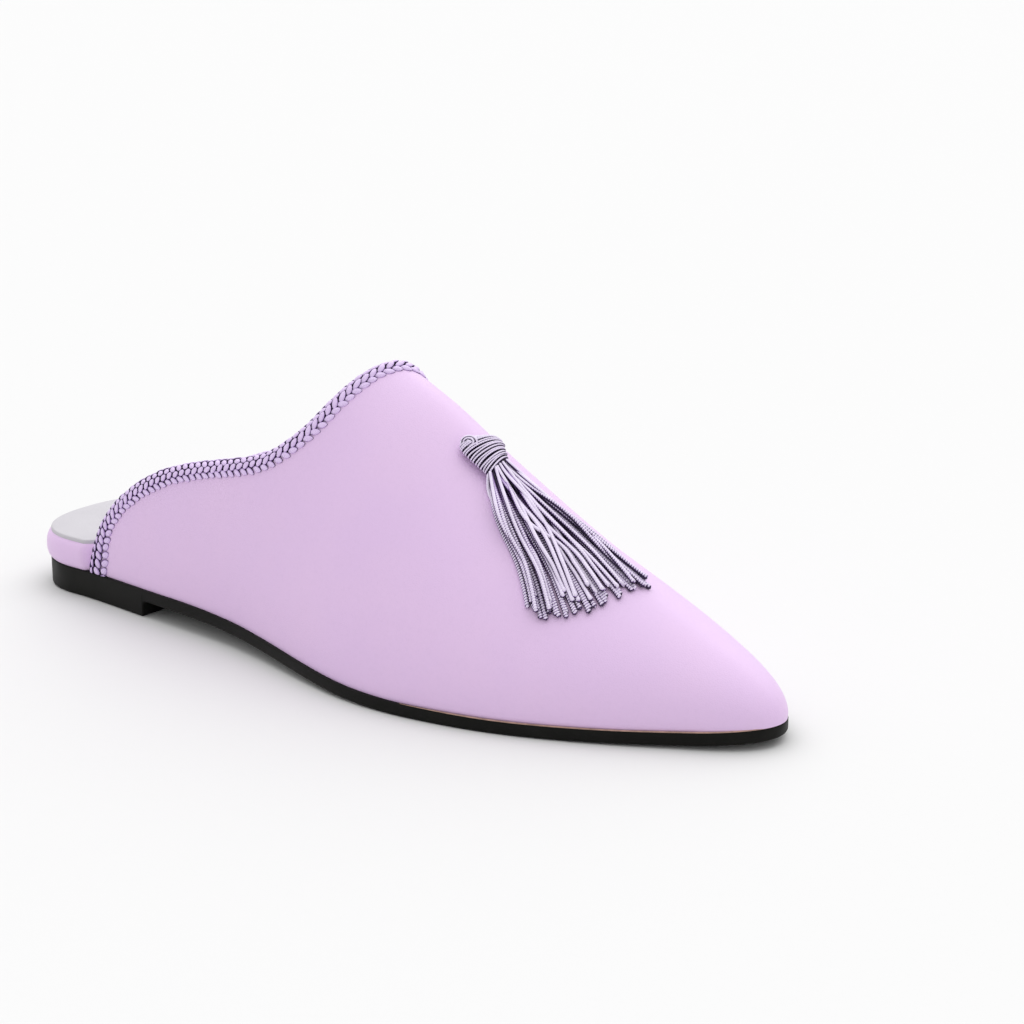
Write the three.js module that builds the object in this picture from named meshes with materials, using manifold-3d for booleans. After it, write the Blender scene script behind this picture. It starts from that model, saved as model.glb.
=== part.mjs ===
// A backless slipper with a pointed toe, for the right foot, standing empty on its sole.
// Millimetres. Tables and functions measure x forward from the back of the heel, y from the
// shoe's long axis with the outer side of the foot at -Y, and z up from the floor.
// The whole shoe is then shifted so that its origin lies on the floor under the heel.

import * as THREE from "three";
import { mergeVertices } from "three/addons/utils/BufferGeometryUtils.js";
import ManifoldModule from "manifold-3d";

// Driving sizes of the sole
const SOLE_LENGTH = 267;
const HEEL_ROUND_LENGTH = 24;
const HEEL_SQUARENESS = 2.36;
const NOSE_START = 250;
const TOE_POINT_Y = -2.2;
const OUTSOLE_THICKNESS = 3.7;
const HEEL_BREAST = 57;
const BREAST_SLOPE = 0.8;
const OUTSOLE_EDGE_ROUND = 0.8;
const HEEL_CENTRE = 27;

// Driving sizes of the upper
const UPPER_WALL = 1.7;
const FEATHER_INSET = 0.6;
const NOSE_HEIGHT_POWER = 1.1;

// Driving sizes of the footbed and its sock
const FOOTBED_BULGE = 1.2;
const FOOTBED_TUCK_START = 28;
const FOOTBED_TUCK_END = 33.2;
const SOCK_THICKNESS = 0.9;
const SOCK_INSET = 0.4;

// Driving sizes of the trim
const BRAID_HALF_WIDTH = 2.5;
const BRAID_HALF_THICKNESS = 2.0;
const BRAID_TAIL = 3;
const GAP = 0.3;

// Half widths of the sole's outline on either side of the long axis
const SOLE_PLAN = [
  { x: 24, outer: -27.6, inner: 27.6 },
  { x: 40, outer: -28.6, inner: 28.0 },
  { x: 62, outer: -31.0, inner: 27.2 },
  { x: 85, outer: -33.1, inner: 26.0 },
  { x: 100, outer: -35.2, inner: 25.6 },
  { x: 118, outer: -39.4, inner: 26.4 },
  { x: 136, outer: -44.2, inner: 28.7 },
  { x: 152, outer: -47.5, inner: 31.0 },
  { x: 166, outer: -48.3, inner: 32.0 },
  { x: 182, outer: -46.8, inner: 32.2 },
  { x: 200, outer: -43.0, inner: 31.0 },
  { x: 218, outer: -36.4, inner: 28.8 },
  { x: 234, outer: -28.8, inner: 24.2 },
  { x: 250, outer: -20.1, inner: 16.8 },
];

// Height of the outsole's upper face: level at the heel, down the arch, level at the ball
// and up again to the toe
const SOLE_HEIGHT = [
  { x: 0, top: 8.7 },
  { x: 72, top: 8.7 },
  { x: 95, top: 8.0 },
  { x: 115, top: 6.8 },
  { x: 135, top: 5.4 },
  { x: 155, top: 4.2 },
  { x: 175, top: 3.7 },
  { x: 200, top: 3.7 },
  { x: 230, top: 4.1 },
  { x: 250, top: 4.8 },
  { x: 267, top: 6.0 },
];

// Cross sections of the last: height and sideways place of the crest, how far up the wall
// stays upright, how flat the top is on either side, and how far the wall swells past the sole
const LAST = [
  { x: 30, crest: 111, shift: 0.7, upright: 0.36, outerFlat: 0.37, innerFlat: 0.62, swell: 0.5 },
  { x: 108, crest: 93.2, shift: 0.7, upright: 0.36, outerFlat: 0.37, innerFlat: 0.62, swell: 1.1 },
  { x: 128, crest: 85.3, shift: 2.7, upright: 0.36, outerFlat: 0.37, innerFlat: 0.63, swell: 1.3 },
  { x: 147, crest: 77.0, shift: 0.7, upright: 0.36, outerFlat: 0.37, innerFlat: 0.62, swell: 1.5 },
  { x: 170, crest: 62.5, shift: -0.1, upright: 0.36, outerFlat: 0.37, innerFlat: 0.6, swell: 1.9 },
  { x: 200, crest: 45.7, shift: -1.4, upright: 0.36, outerFlat: 0.38, innerFlat: 0.56, swell: 2.2 },
  { x: 220, crest: 35.8, shift: -1.9, upright: 0.46, outerFlat: 0.38, innerFlat: 0.55, swell: 1.8 },
  { x: 236, crest: 28.1, shift: -2.1, upright: 0.56, outerFlat: 0.39, innerFlat: 0.54, swell: 1.2 },
  { x: 250, crest: 21.5, shift: -2.2, upright: 0.62, outerFlat: 0.39, innerFlat: 0.53, swell: 0.8 },
];

// The collar's edge. Turn runs round the cross section: 0 at the sole on the outer side,
// 0.5 on the crest and 1 at the sole on the inner side
const COLLAR = [
  { turn: 0, x: 33.2 },
  { turn: 0.027, x: 35.0 },
  { turn: 0.05, x: 36.8 },
  { turn: 0.094, x: 44.5 },
  { turn: 0.131, x: 56.3 },
  { turn: 0.16, x: 70.3 },
  { turn: 0.183, x: 85.6 },
  { turn: 0.21, x: 101.3 },
  { turn: 0.243, x: 111.6 },
  { turn: 0.282, x: 118.4 },
  { turn: 0.34, x: 124.0 },
  { turn: 0.402, x: 128.4 },
  { turn: 0.45, x: 131.2 },
  { turn: 0.5, x: 133.4 },
  { turn: 0.54, x: 134.6 },
  { turn: 0.58, x: 134.5 },
  { turn: 0.62, x: 132.8 },
  { turn: 0.66, x: 129.6 },
  { turn: 0.7, x: 125.0 },
  { turn: 0.742, x: 118.6 },
  { turn: 0.793, x: 110.0 },
  { turn: 0.825, x: 98.0 },
  { turn: 0.845, x: 85.0 },
  { turn: 0.86, x: 71.0 },
  { turn: 0.878, x: 57.0 },
  { turn: 0.909, x: 45.2 },
  { turn: 0.95, x: 37.2 },
  { turn: 0.973, x: 35.0 },
  { turn: 1, x: 33.2 },
];

// Thickness of the wrapped footbed: a cushion at the heel, thin under the toes
const FOOTBED = [
  { x: 0, thickness: 8.3 },
  { x: 60, thickness: 8.3 },
  { x: 100, thickness: 6.8 },
  { x: 150, thickness: 4.4 },
  { x: 200, thickness: 3.4 },
  { x: 267, thickness: 3.0 },
];

// The tassel's knot along its length on the vamp: plan place, half width and rise
const KNOT = [
  { x: 163.9, y: -2.3, half: 4.3, rise: 2.2 },
  { x: 165.6, y: -2.6, half: 6.0, rise: 3.7 },
  { x: 168.4, y: -3.2, half: 5.8, rise: 4.3 },
  { x: 171.6, y: -4.1, half: 4.8, rise: 4.1 },
  { x: 174.5, y: -4.8, half: 4.1, rise: 3.8 },
];
const KNOT_TURNS = 8;
const KNOT_RIDGE = 0.22;
const KNOT_SIDES = 12;

// The tassel's fringe, fanned on the vamp from the knot's neck
const FRINGE_NECK = { x: 175.2, y: -4.9 };
const FRINGE_NECK_WIDTH = 7.2;
const FRINGE_FIRST_ANGLE = -40;
const FRINGE_LAST_ANGLE = 6;
const FRINGE_FIRST_REACH = 36.5;
const FRINGE_LAST_REACH = 48;
const FRINGE_BOW = 1.6;
const FRINGE_LOCKS = 15;
const FRINGE_STEPS = 8;
const FRINGE_GATHER = 0.35;
const FRINGE_GATHERED_RISE = 1.3;
const LOCK_TRIMS = [0, 1.6, -1.4, 0.8, -0.6];
const LOCK_LIFT = 0.5;
// One lock across: height above the drape, and the share of its length that it reaches
const LOCK_SECTION = [
  { rise: 0.6, reach: 0.86 },
  { rise: 1.7, reach: 0.985 },
  { rise: 2.2, reach: 1 },
  { rise: 1.7, reach: 0.985 },
];
const DRAPE_CLEARANCE = 0.45;

// How finely the shapes are divided
const UPPER_ROWS = 36;
const UPPER_ROW_CROWDING = 1.35;
const UPPER_BODY_COLUMNS = 19;
const UPPER_NOSE_COLUMNS = 7;
const BRAID_STEPS = 64;
const BRAID_SIDES = 10;

const NOSE_LENGTH = SOLE_LENGTH - NOSE_START;

const wasm = await ManifoldModule();
wasm.setup();

// Curves through tables

// Smooth curve with the given slopes at its two ends
function spline(rows, across, column, startSlope, endSlope) {
  const n = rows.length;
  const at = rows.map((row) => row[across]);
  const value = rows.map((row) => row[column]);
  const step = (i) => at[i + 1] - at[i];
  const rise = (i) => (value[i + 1] - value[i]) / step(i);
  const lower = new Array(n).fill(0);
  const middle = new Array(n).fill(0);
  const upper = new Array(n).fill(0);
  const right = new Array(n).fill(0);
  middle[0] = 1;
  right[0] = startSlope ?? rise(0);
  middle[n - 1] = 1;
  right[n - 1] = endSlope ?? rise(n - 2);
  for (let i = 1; i < n - 1; i += 1) {
    lower[i] = step(i);
    middle[i] = 2 * (step(i) + step(i - 1));
    upper[i] = step(i - 1);
    right[i] = 3 * (rise(i - 1) * step(i) + rise(i) * step(i - 1));
  }
  for (let i = 1; i < n; i += 1) {
    const factor = lower[i] / middle[i - 1];
    middle[i] -= factor * upper[i - 1];
    right[i] -= factor * right[i - 1];
  }
  const slope = new Array(n);
  slope[n - 1] = right[n - 1] / middle[n - 1];
  for (let i = n - 2; i >= 0; i -= 1) {
    slope[i] = (right[i] - upper[i] * slope[i + 1]) / middle[i];
  }
  return (x) => hermite(at, value, slope, x);
}

// Curve that never overshoots its rows, so level stretches stay level
function steady(rows, across, column) {
  const n = rows.length;
  const at = rows.map((row) => row[across]);
  const value = rows.map((row) => row[column]);
  const rise = (i) => (value[i + 1] - value[i]) / (at[i + 1] - at[i]);
  const slope = new Array(n).fill(0);
  slope[0] = rise(0);
  slope[n - 1] = rise(n - 2);
  for (let i = 1; i < n - 1; i += 1) {
    const before = rise(i - 1);
    const after = rise(i);
    if (before * after > 0) {
      const w1 = 2 * (at[i + 1] - at[i]) + (at[i] - at[i - 1]);
      const w2 = (at[i + 1] - at[i]) + 2 * (at[i] - at[i - 1]);
      slope[i] = (w1 + w2) / (w1 / before + w2 / after);
    }
  }
  return (x) => hermite(at, value, slope, x);
}

function hermite(at, value, slope, x) {
  const last = at.length - 1;
  const place = Math.min(Math.max(x, at[0]), at[last]);
  let i = 0;
  while (i < last - 1 && place > at[i + 1]) i += 1;
  const h = at[i + 1] - at[i];
  const t = (place - at[i]) / h;
  const a = 2 * t ** 3 - 3 * t ** 2 + 1;
  const b = t ** 3 - 2 * t ** 2 + t;
  const c = -2 * t ** 3 + 3 * t ** 2;
  const d = t ** 3 - t ** 2;
  return a * value[i] + b * h * slope[i] + c * value[i + 1] + d * h * slope[i + 1];
}

// The last: outline, heights and cross sections

const noseRow = SOLE_PLAN[SOLE_PLAN.length - 1];
const noseSlope = (edge) => (TOE_POINT_Y - edge) / (2 * NOSE_LENGTH);
const outerEdge = spline(SOLE_PLAN, "x", "outer", 0, noseSlope(noseRow.outer));
const innerEdge = spline(SOLE_PLAN, "x", "inner", 0, noseSlope(noseRow.inner));
const soleTop = steady(SOLE_HEIGHT, "x", "top");
const crestHeight = steady(LAST, "x", "crest");
const crestShift = steady(LAST, "x", "shift");
const uprightShare = steady(LAST, "x", "upright");
const outerFlatness = steady(LAST, "x", "outerFlat");
const innerFlatness = steady(LAST, "x", "innerFlat");
const wallSwell = steady(LAST, "x", "swell");
const collarPlace = spline(COLLAR, "turn", "x");
const footbedThickness = steady(FOOTBED, "x", "thickness");

function noseShare(x) {
  return Math.sqrt(THREE.MathUtils.clamp((SOLE_LENGTH - x) / NOSE_LENGTH, 0, 1));
}

function soleEdge(x, side) {
  const edge = side < 0 ? outerEdge : innerEdge;
  if (x < HEEL_ROUND_LENGTH) {
    const back = 1 - x / HEEL_ROUND_LENGTH;
    const share = Math.pow(1 - Math.pow(back, HEEL_SQUARENESS), 1 / HEEL_SQUARENESS);
    return edge(HEEL_ROUND_LENGTH) * share;
  }
  return TOE_POINT_Y + (edge(Math.min(x, NOSE_START)) - TOE_POINT_Y) * noseShare(x);
}

function bezier(a, b, c, d, t) {
  const s = 1 - t;
  return a * s ** 3 + 3 * b * t * s ** 2 + 3 * c * t ** 2 * s + d * t ** 3;
}

// A point on the outside of the upper
function lastPoint(x, turn) {
  const side = turn < 0.5 ? -1 : 1;
  const t = turn < 0.5 ? 2 * turn : 2 * (1 - turn);
  const body = Math.min(x, NOSE_START);
  const nose = noseShare(x);
  const edge = (side < 0 ? outerEdge(body) : innerEdge(body)) - side * FEATHER_INSET;
  const flat = side < 0 ? outerFlatness(body) : innerFlatness(body);
  const shift = crestShift(body);
  const across = bezier(edge, edge + side * wallSwell(body), shift + flat * (edge - shift), shift, t);
  const foot = soleTop(Math.min(x, SOLE_LENGTH)) + GAP;
  const height = (crestHeight(body) - soleTop(body) - GAP) * nose ** NOSE_HEIGHT_POWER;
  const up = bezier(0, uprightShare(body) * height, height, height, t);
  const y = TOE_POINT_Y + (across - TOE_POINT_Y) * nose;
  return new THREE.Vector3(x, y, foot + up);
}

// The outward direction of the upper there
function lastNormal(x, turn) {
  const dx = 0.05;
  const dt = 0.0005;
  const front = lastPoint(Math.min(x + dx, SOLE_LENGTH), turn);
  const back = lastPoint(x - dx, turn);
  const more = lastPoint(x, Math.min(turn + dt, 1));
  const less = lastPoint(x, Math.max(turn - dt, 0));
  return more.sub(less).cross(front.sub(back)).normalize().negate();
}

// Upper

function upperTurns() {
  const half = UPPER_ROWS / 2;
  const turns = [];
  for (let k = 0; k <= half; k += 1) {
    turns.push(0.5 * (k / half) ** UPPER_ROW_CROWDING);
  }
  for (let k = half - 1; k >= 0; k -= 1) {
    turns.push(1 - turns[k]);
  }
  return turns;
}

// Places along one row of the upper, from the collar to just short of the toe point
function upperPlaces(start) {
  const places = [];
  for (let j = 0; j <= UPPER_BODY_COLUMNS; j += 1) {
    places.push(start + (NOSE_START - start) * (j / UPPER_BODY_COLUMNS));
  }
  for (let j = 1; j < UPPER_NOSE_COLUMNS; j += 1) {
    places.push(SOLE_LENGTH - NOSE_LENGTH * (1 - j / UPPER_NOSE_COLUMNS) ** 2);
  }
  return places;
}

// A shell between two offsets from the last, open at the collar and underneath
function upperShell(outward, inward, forwardStart) {
  const turns = upperTurns();
  const rows = turns.length;
  const vertices = [];
  const skins = [outward, -inward].map((offset) => turns.map((turn, k) => {
    const places = upperPlaces(collarPlace(turn) + forwardStart);
    return places.map((x) => {
      const point = lastPoint(x, turn);
      const footHeight = point.z;
      point.addScaledVector(lastNormal(x, turn), offset);
      if (k === 0 || k === rows - 1) point.z = footHeight - (outward > 0 ? GAP : 0);
      return vertices.push(point) - 1;
    });
  }));
  const toeFoot = soleTop(SOLE_LENGTH) + GAP;
  const toes = [outward, -inward].map((offset) => {
    const toe = new THREE.Vector3(SOLE_LENGTH + offset, TOE_POINT_Y, toeFoot - (outward > 0 ? GAP : 0));
    return vertices.push(toe) - 1;
  });
  const faces = [];
  const quad = (a, b, c, d) => faces.push([a, b, c], [a, c, d]);
  const columns = skins[0][0].length;
  skins.forEach((skin, which) => {
    for (let k = 0; k < rows - 1; k += 1) {
      for (let j = 0; j < columns - 1; j += 1) {
        const corners = [skin[k][j], skin[k][j + 1], skin[k + 1][j + 1], skin[k + 1][j]];
        if (which === 1) corners.reverse();
        quad(...corners);
      }
      const cap = [skin[k][columns - 1], toes[which], skin[k + 1][columns - 1]];
      if (which === 1) cap.reverse();
      faces.push(cap);
    }
  });
  const [outside, inside] = skins;
  for (let k = 0; k < rows - 1; k += 1) {
    quad(outside[k][0], outside[k + 1][0], inside[k + 1][0], inside[k][0]);
  }
  [0, rows - 1].forEach((k) => {
    const outerRow = [...outside[k], toes[0]];
    const innerRow = [...inside[k], toes[1]];
    for (let j = 0; j < columns; j += 1) {
      const corners = [outerRow[j], innerRow[j], innerRow[j + 1], outerRow[j + 1]];
      if (k !== 0) corners.reverse();
      quad(...corners);
    }
  });
  return closedGeometry(vertices, faces);
}

// Geometry helpers

function closedGeometry(vertices, faces) {
  const geometry = new THREE.BufferGeometry();
  const positions = new Float32Array(vertices.flatMap((v) => [v.x, v.y, v.z]));
  geometry.setAttribute("position", new THREE.BufferAttribute(positions, 3));
  geometry.setIndex(faces.flat());
  return geometry;
}

function toSolid(geometry) {
  const plain = geometry.clone();
  plain.deleteAttribute("normal");
  plain.deleteAttribute("uv");
  const merged = mergeVertices(plain, 1e-4);
  const vertProperties = new Float32Array(merged.attributes.position.array);
  const triVerts = new Uint32Array(merged.index.array);
  return new wasm.Manifold(new wasm.Mesh({ numProp: 3, vertProperties, triVerts }));
}

function fromSolid(solid) {
  const mesh = solid.getMesh();
  const geometry = new THREE.BufferGeometry();
  geometry.setAttribute("position", new THREE.BufferAttribute(new Float32Array(mesh.vertProperties), 3));
  geometry.setIndex(Array.from(mesh.triVerts));
  return geometry;
}

// The largest body of a solid, without the crumbs that a cut can leave
function mainBody(solid) {
  const bodies = solid.decompose();
  return bodies.reduce((best, body) => (body.volume() > best.volume() ? body : best));
}

// Layers that follow the sole's outline

function soleStations(extra = []) {
  const stations = [0, 0.3, 1.2, 3, 6, 10, 16, 24, 36, 48, 72, 84, 95, 105, 115, 125, 135, 145, 155, 165, 175];
  stations.push(187.5, 200, 210, 220, 230, 240, NOSE_START);
  for (let j = 1; j <= 5; j += 1) {
    stations.push(SOLE_LENGTH - NOSE_LENGTH * (1 - j / 5) ** 2);
  }
  return [...stations, ...extra].sort((a, b) => a - b);
}

// The outline moved in by an inset, outer side forward and then inner side back
function soleRing(stations, inset, height) {
  const n = stations.length - 1;
  const outline = stations.map((x) => new THREE.Vector2(x, soleEdge(x, -1)));
  for (let i = n - 1; i > 0; i -= 1) {
    outline.push(new THREE.Vector2(stations[i], soleEdge(stations[i], 1)));
  }
  return outline.map((point, i) => {
    const next = outline[(i + 1) % outline.length];
    const before = outline[(i + outline.length - 1) % outline.length];
    const along = next.clone().sub(before).normalize();
    if (i === 0) along.set(0, -1);
    if (i === n) along.set(0, 1);
    const depth = inset(point.x);
    return new THREE.Vector3(point.x - along.y * depth, point.y + along.x * depth, height(point.x));
  });
}

function layeredSolid(stations, levels) {
  const n = stations.length - 1;
  const size = 2 * n;
  const rings = levels.map((level) => soleRing(stations, level.inset, level.height));
  const faces = [];
  for (let level = 0; level < rings.length - 1; level += 1) {
    const low = level * size;
    const high = low + size;
    for (let i = 0; i < size; i += 1) {
      const j = (i + 1) % size;
      faces.push([low + i, low + j, high + j], [low + i, high + j, high + i]);
    }
  }
  const top = (rings.length - 1) * size;
  const across = (i) => (i === 0 || i === n ? i : size - i);
  for (let i = 0; i < n; i += 1) {
    const strip = [];
    if (i < n - 1) strip.push([i, i + 1, across(i + 1)]);
    else strip.push([i, n, across(i)]);
    if (i > 0 && i < n - 1) strip.push([i, across(i + 1), across(i)]);
    strip.forEach(([a, b, c]) => {
      faces.push([top + a, top + b, top + c]);
      faces.push([a, c, b]);
    });
  }
  return closedGeometry(rings.flat(), faces);
}

// Outsole with its low heel, moulded in one

function outsoleBottom(x) {
  if (x <= HEEL_BREAST) return 0;
  return soleTop(x) - OUTSOLE_THICKNESS;
}

function outsole() {
  const level = (height, inset) => ({ height, inset: () => inset });
  return layeredSolid(soleStations([HEEL_BREAST, HEEL_BREAST + BREAST_SLOPE]), [
    level(outsoleBottom, OUTSOLE_EDGE_ROUND),
    level((x) => outsoleBottom(x) + OUTSOLE_EDGE_ROUND, 0),
    level((x) => soleTop(x) - OUTSOLE_EDGE_ROUND / 2, 0),
    level(soleTop, OUTSOLE_EDGE_ROUND / 4),
  ]);
}

// Footbed: it swells past the sole behind the upper, and lies inside the upper further on

function footbedInset(x) {
  const inside = FEATHER_INSET + UPPER_WALL + 1.5 * GAP;
  return THREE.MathUtils.lerp(
    -FOOTBED_BULGE, inside, THREE.MathUtils.smoothstep(x, FOOTBED_TUCK_START, FOOTBED_TUCK_END));
}

function footbedTop(x) {
  return soleTop(x) + GAP + footbedThickness(x);
}

function footbed(cutters) {
  const rise = (share) => (x) => soleTop(x) + GAP + share * footbedThickness(x);
  const level = (share, extra) => ({ height: rise(share), inset: (x) => footbedInset(x) + extra });
  const form = toSolid(layeredSolid(soleStations([FOOTBED_TUCK_START, FOOTBED_TUCK_END]), [
    level(0, 1.1),
    level(0.25, 0.1),
    level(0.5, 0),
    level(0.8, 0.5),
    level(1, 1.5),
  ]));
  return fromSolid(mainBody(cutters.reduce((solid, cutter) => solid.subtract(cutter), form)));
}

function insoleSock(cutters) {
  const inset = (x) => footbedInset(x) + FOOTBED_BULGE + SOCK_INSET;
  const low = (x) => footbedTop(x) + GAP;
  const form = toSolid(layeredSolid(soleStations([FOOTBED_TUCK_START, FOOTBED_TUCK_END]), [
    { height: low, inset },
    { height: (x) => low(x) + SOCK_THICKNESS / 2, inset },
    { height: (x) => low(x) + SOCK_THICKNESS, inset: (x) => inset(x) + SOCK_THICKNESS / 2 },
  ]));
  return fromSolid(mainBody(cutters.reduce((solid, cutter) => solid.subtract(cutter), form)));
}

// Braid over the collar's edge

// Where the braid runs: on the collar's edge, halfway through the wall of the upper
function collarCentre(turn) {
  const x = collarPlace(turn);
  return lastPoint(x, turn).addScaledVector(lastNormal(x, turn), -UPPER_WALL / 2);
}

// A flat cord along the collar's edge, its wide face lying in the surface of the upper
function collarCord(growth) {
  const rings = braidTurns().map((turn, k) => {
    const ahead = collarCentre(Math.min(turn + 0.002, 1))
      .sub(collarCentre(Math.max(turn - 0.002, 0))).normalize();
    const outward = lastNormal(collarPlace(turn), turn);
    const aside = new THREE.Vector3().crossVectors(ahead, outward).normalize();
    outward.crossVectors(aside, ahead);
    const tail = k === 0 ? -BRAID_TAIL : k === BRAID_STEPS ? BRAID_TAIL : 0;
    const centre = collarCentre(turn).addScaledVector(ahead, tail);
    const ring = [];
    for (let i = 0; i < BRAID_SIDES; i += 1) {
      const angle = (2 * Math.PI * (i + 0.5)) / BRAID_SIDES;
      ring.push(centre.clone()
        .addScaledVector(aside, (BRAID_HALF_WIDTH + growth) * Math.cos(angle))
        .addScaledVector(outward, -(BRAID_HALF_THICKNESS + growth) * Math.sin(angle)));
    }
    return ring;
  });
  return ringedSolid(rings);
}

// Everything lower than the top of the sole and a gap
function belowFeather() {
  const level = (height) => ({ height, inset: () => -3 * BRAID_HALF_WIDTH });
  return layeredSolid(soleStations(), [level(() => 0), level((x) => soleTop(x) + GAP)]);
}

// Turns at even steps along the collar's edge
function braidTurns() {
  const fine = 600;
  const lengths = [0];
  const edge = (k) => lastPoint(collarPlace(k / fine), k / fine);
  for (let k = 1; k <= fine; k += 1) {
    lengths.push(lengths[k - 1] + edge(k).distanceTo(edge(k - 1)));
  }
  const turns = [];
  let k = 0;
  for (let step = 0; step <= BRAID_STEPS; step += 1) {
    const wanted = (lengths[fine] * step) / BRAID_STEPS;
    while (k < fine && lengths[k] < wanted) k += 1;
    turns.push(k / fine);
  }
  return turns;
}

// Tassel

// A point above the vamp at a plan place
function vampPoint(x, y, rise) {
  let low = 0.12;
  let high = 0.88;
  for (let k = 0; k < 40; k += 1) {
    const middle = (low + high) / 2;
    if (lastPoint(x, middle).y < y) low = middle;
    else high = middle;
  }
  return lastPoint(x, low).addScaledVector(lastNormal(x, low), rise);
}

// A closed solid through rings of points, all with the same number of points
function ringedSolid(rings) {
  const sides = rings[0].length;
  const vertices = rings.flat();
  const faces = [];
  for (let k = 0; k < rings.length - 1; k += 1) {
    for (let i = 0; i < sides; i += 1) {
      const j = (i + 1) % sides;
      const a = k * sides;
      const b = a + sides;
      faces.push([a + i, a + j, b + j], [a + i, b + j, b + i]);
    }
  }
  const end = (rings.length - 1) * sides;
  for (let low = 0, high = sides - 1; high - low > 1; ) {
    const next = high - low > 2 ? [[low, high, low + 1], [low + 1, high, high - 1]] : [[low, high, low + 1]];
    next.forEach(([a, b, c]) => faces.push([a, b, c], [end + a, end + c, end + b]));
    low += 1;
    high -= 1;
  }
  return closedGeometry(vertices, faces);
}

function tasselKnot() {
  const rows = KNOT.map((row, k) => ({ ...row, along: k / (KNOT.length - 1) }));
  const column = (name) => spline(rows, "along", name);
  const [x, y, half, rise] = ["x", "y", "half", "rise"].map(column);
  const stations = 2 * KNOT_TURNS;
  const rings = [];
  for (let k = 0; k <= stations; k += 1) {
    const along = k / stations;
    const ridge = k % 2 === 0 ? -KNOT_RIDGE : KNOT_RIDGE;
    const slant = THREE.MathUtils.lerp(0.34, 0, along);
    const ring = [];
    for (let i = 0; i < KNOT_SIDES; i += 1) {
      const angle = (2 * Math.PI * i) / KNOT_SIDES;
      const across = (half(along) + ridge) * Math.cos(angle);
      const up = DRAPE_CLEARANCE + ((rise(along) + ridge) / 2) * (1 + Math.sin(angle));
      ring.push(vampPoint(x(along) + slant * across, y(along) + across, up));
    }
    rings.push(ring);
  }
  return ringedSolid(rings);
}

// Plan place in the fringe: share 0 to 1 from its outer to its inner edge, reach along a lock
function fringePlace(share, along, trim) {
  const angle = THREE.MathUtils.degToRad(
    THREE.MathUtils.lerp(FRINGE_FIRST_ANGLE, FRINGE_LAST_ANGLE, share));
  const reach = THREE.MathUtils.lerp(FRINGE_FIRST_REACH, FRINGE_LAST_REACH, share ** 0.8) + trim;
  const startY = FRINGE_NECK.y + (share - 0.5) * FRINGE_NECK_WIDTH;
  const endY = FRINGE_NECK.y + reach * Math.sin(angle);
  const bow = FRINGE_BOW * Math.sin(Math.PI * along) * (2 * share - 1);
  return new THREE.Vector2(
    FRINGE_NECK.x + along * reach * Math.cos(angle),
    THREE.MathUtils.lerp(startY, endY, along) + bow);
}

// The fringe as one sheet of strand locks lying side by side, cut ragged at its end
function tasselFringe() {
  const perLock = LOCK_SECTION.length;
  const columns = FRINGE_LOCKS * perLock;
  const rings = [];
  for (let i = 0; i <= columns; i += 1) {
    const lock = Math.min(Math.floor(i / perLock), FRINGE_LOCKS - 1);
    const section = LOCK_SECTION[i % perLock];
    const trim = LOCK_TRIMS[lock % LOCK_TRIMS.length];
    const lift = i % perLock !== 0 && lock % 2 === 0 ? LOCK_LIFT : 0;
    const low = [];
    const high = [];
    for (let k = 0; k <= FRINGE_STEPS; k += 1) {
      const along = k / FRINGE_STEPS;
      const place = fringePlace(i / columns, along * section.reach, trim);
      const gathered = (1 - Math.min(1, along / FRINGE_GATHER)) ** 2;
      const base = DRAPE_CLEARANCE + FRINGE_GATHERED_RISE * gathered;
      const rise = (section.rise + lift) * (1 - 0.25 * gathered) * (k === FRINGE_STEPS ? 0.7 : 1);
      low.push(vampPoint(place.x, place.y, base));
      high.push(vampPoint(place.x, place.y, base + rise));
    }
    rings.push([...high, ...low.reverse()]);
  }
  return ringedSolid(rings);
}

// Assembly

const satinLeather = new THREE.MeshStandardMaterial({ color: 0xdcbfe6, roughness: 0.62, metalness: 0 });
const blackRubber = new THREE.MeshStandardMaterial({ color: 0x1c1d1b, roughness: 0.55, metalness: 0 });
const paleLining = new THREE.MeshStandardMaterial({ color: 0xdededf, roughness: 0.7, metalness: 0 });
const mauveBraid = new THREE.MeshStandardMaterial({ color: 0xab93c4, roughness: 0.75, metalness: 0 });
const mauveCord = new THREE.MeshStandardMaterial({ color: 0xb39ccb, roughness: 0.6, metalness: 0 });

const shell = toSolid(upperShell(0, UPPER_WALL, 0));
const roomForUpper = toSolid(upperShell(GAP, UPPER_WALL + GAP, -1));
const roomForBraid = toSolid(collarCord(GAP));
const braid = mainBody(toSolid(collarCord(0)).subtract(roomForUpper).subtract(toSolid(belowFeather())));

const pieces = [
  ["outsole", outsole(), blackRubber],
  ["footbed", footbed([roomForUpper, roomForBraid]), satinLeather],
  ["insole_sock", insoleSock([roomForUpper, roomForBraid]), paleLining],
  ["upper", fromSolid(shell), satinLeather],
  ["collar_braid", fromSolid(braid), mauveBraid],
  ["tassel_knot", fromSolid(toSolid(tasselKnot())), mauveCord],
  ["tassel_fringe", fromSolid(toSolid(tasselFringe())), mauveCord],
];

const slipper = new THREE.Group();
pieces.forEach(([name, geometry, material]) => {
  const mesh = new THREE.Mesh(geometry, material);
  mesh.name = name;
  slipper.add(mesh);
});
slipper.position.x = -HEEL_CENTRE;
slipper.updateMatrixWorld(true);

export default slipper;
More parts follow.
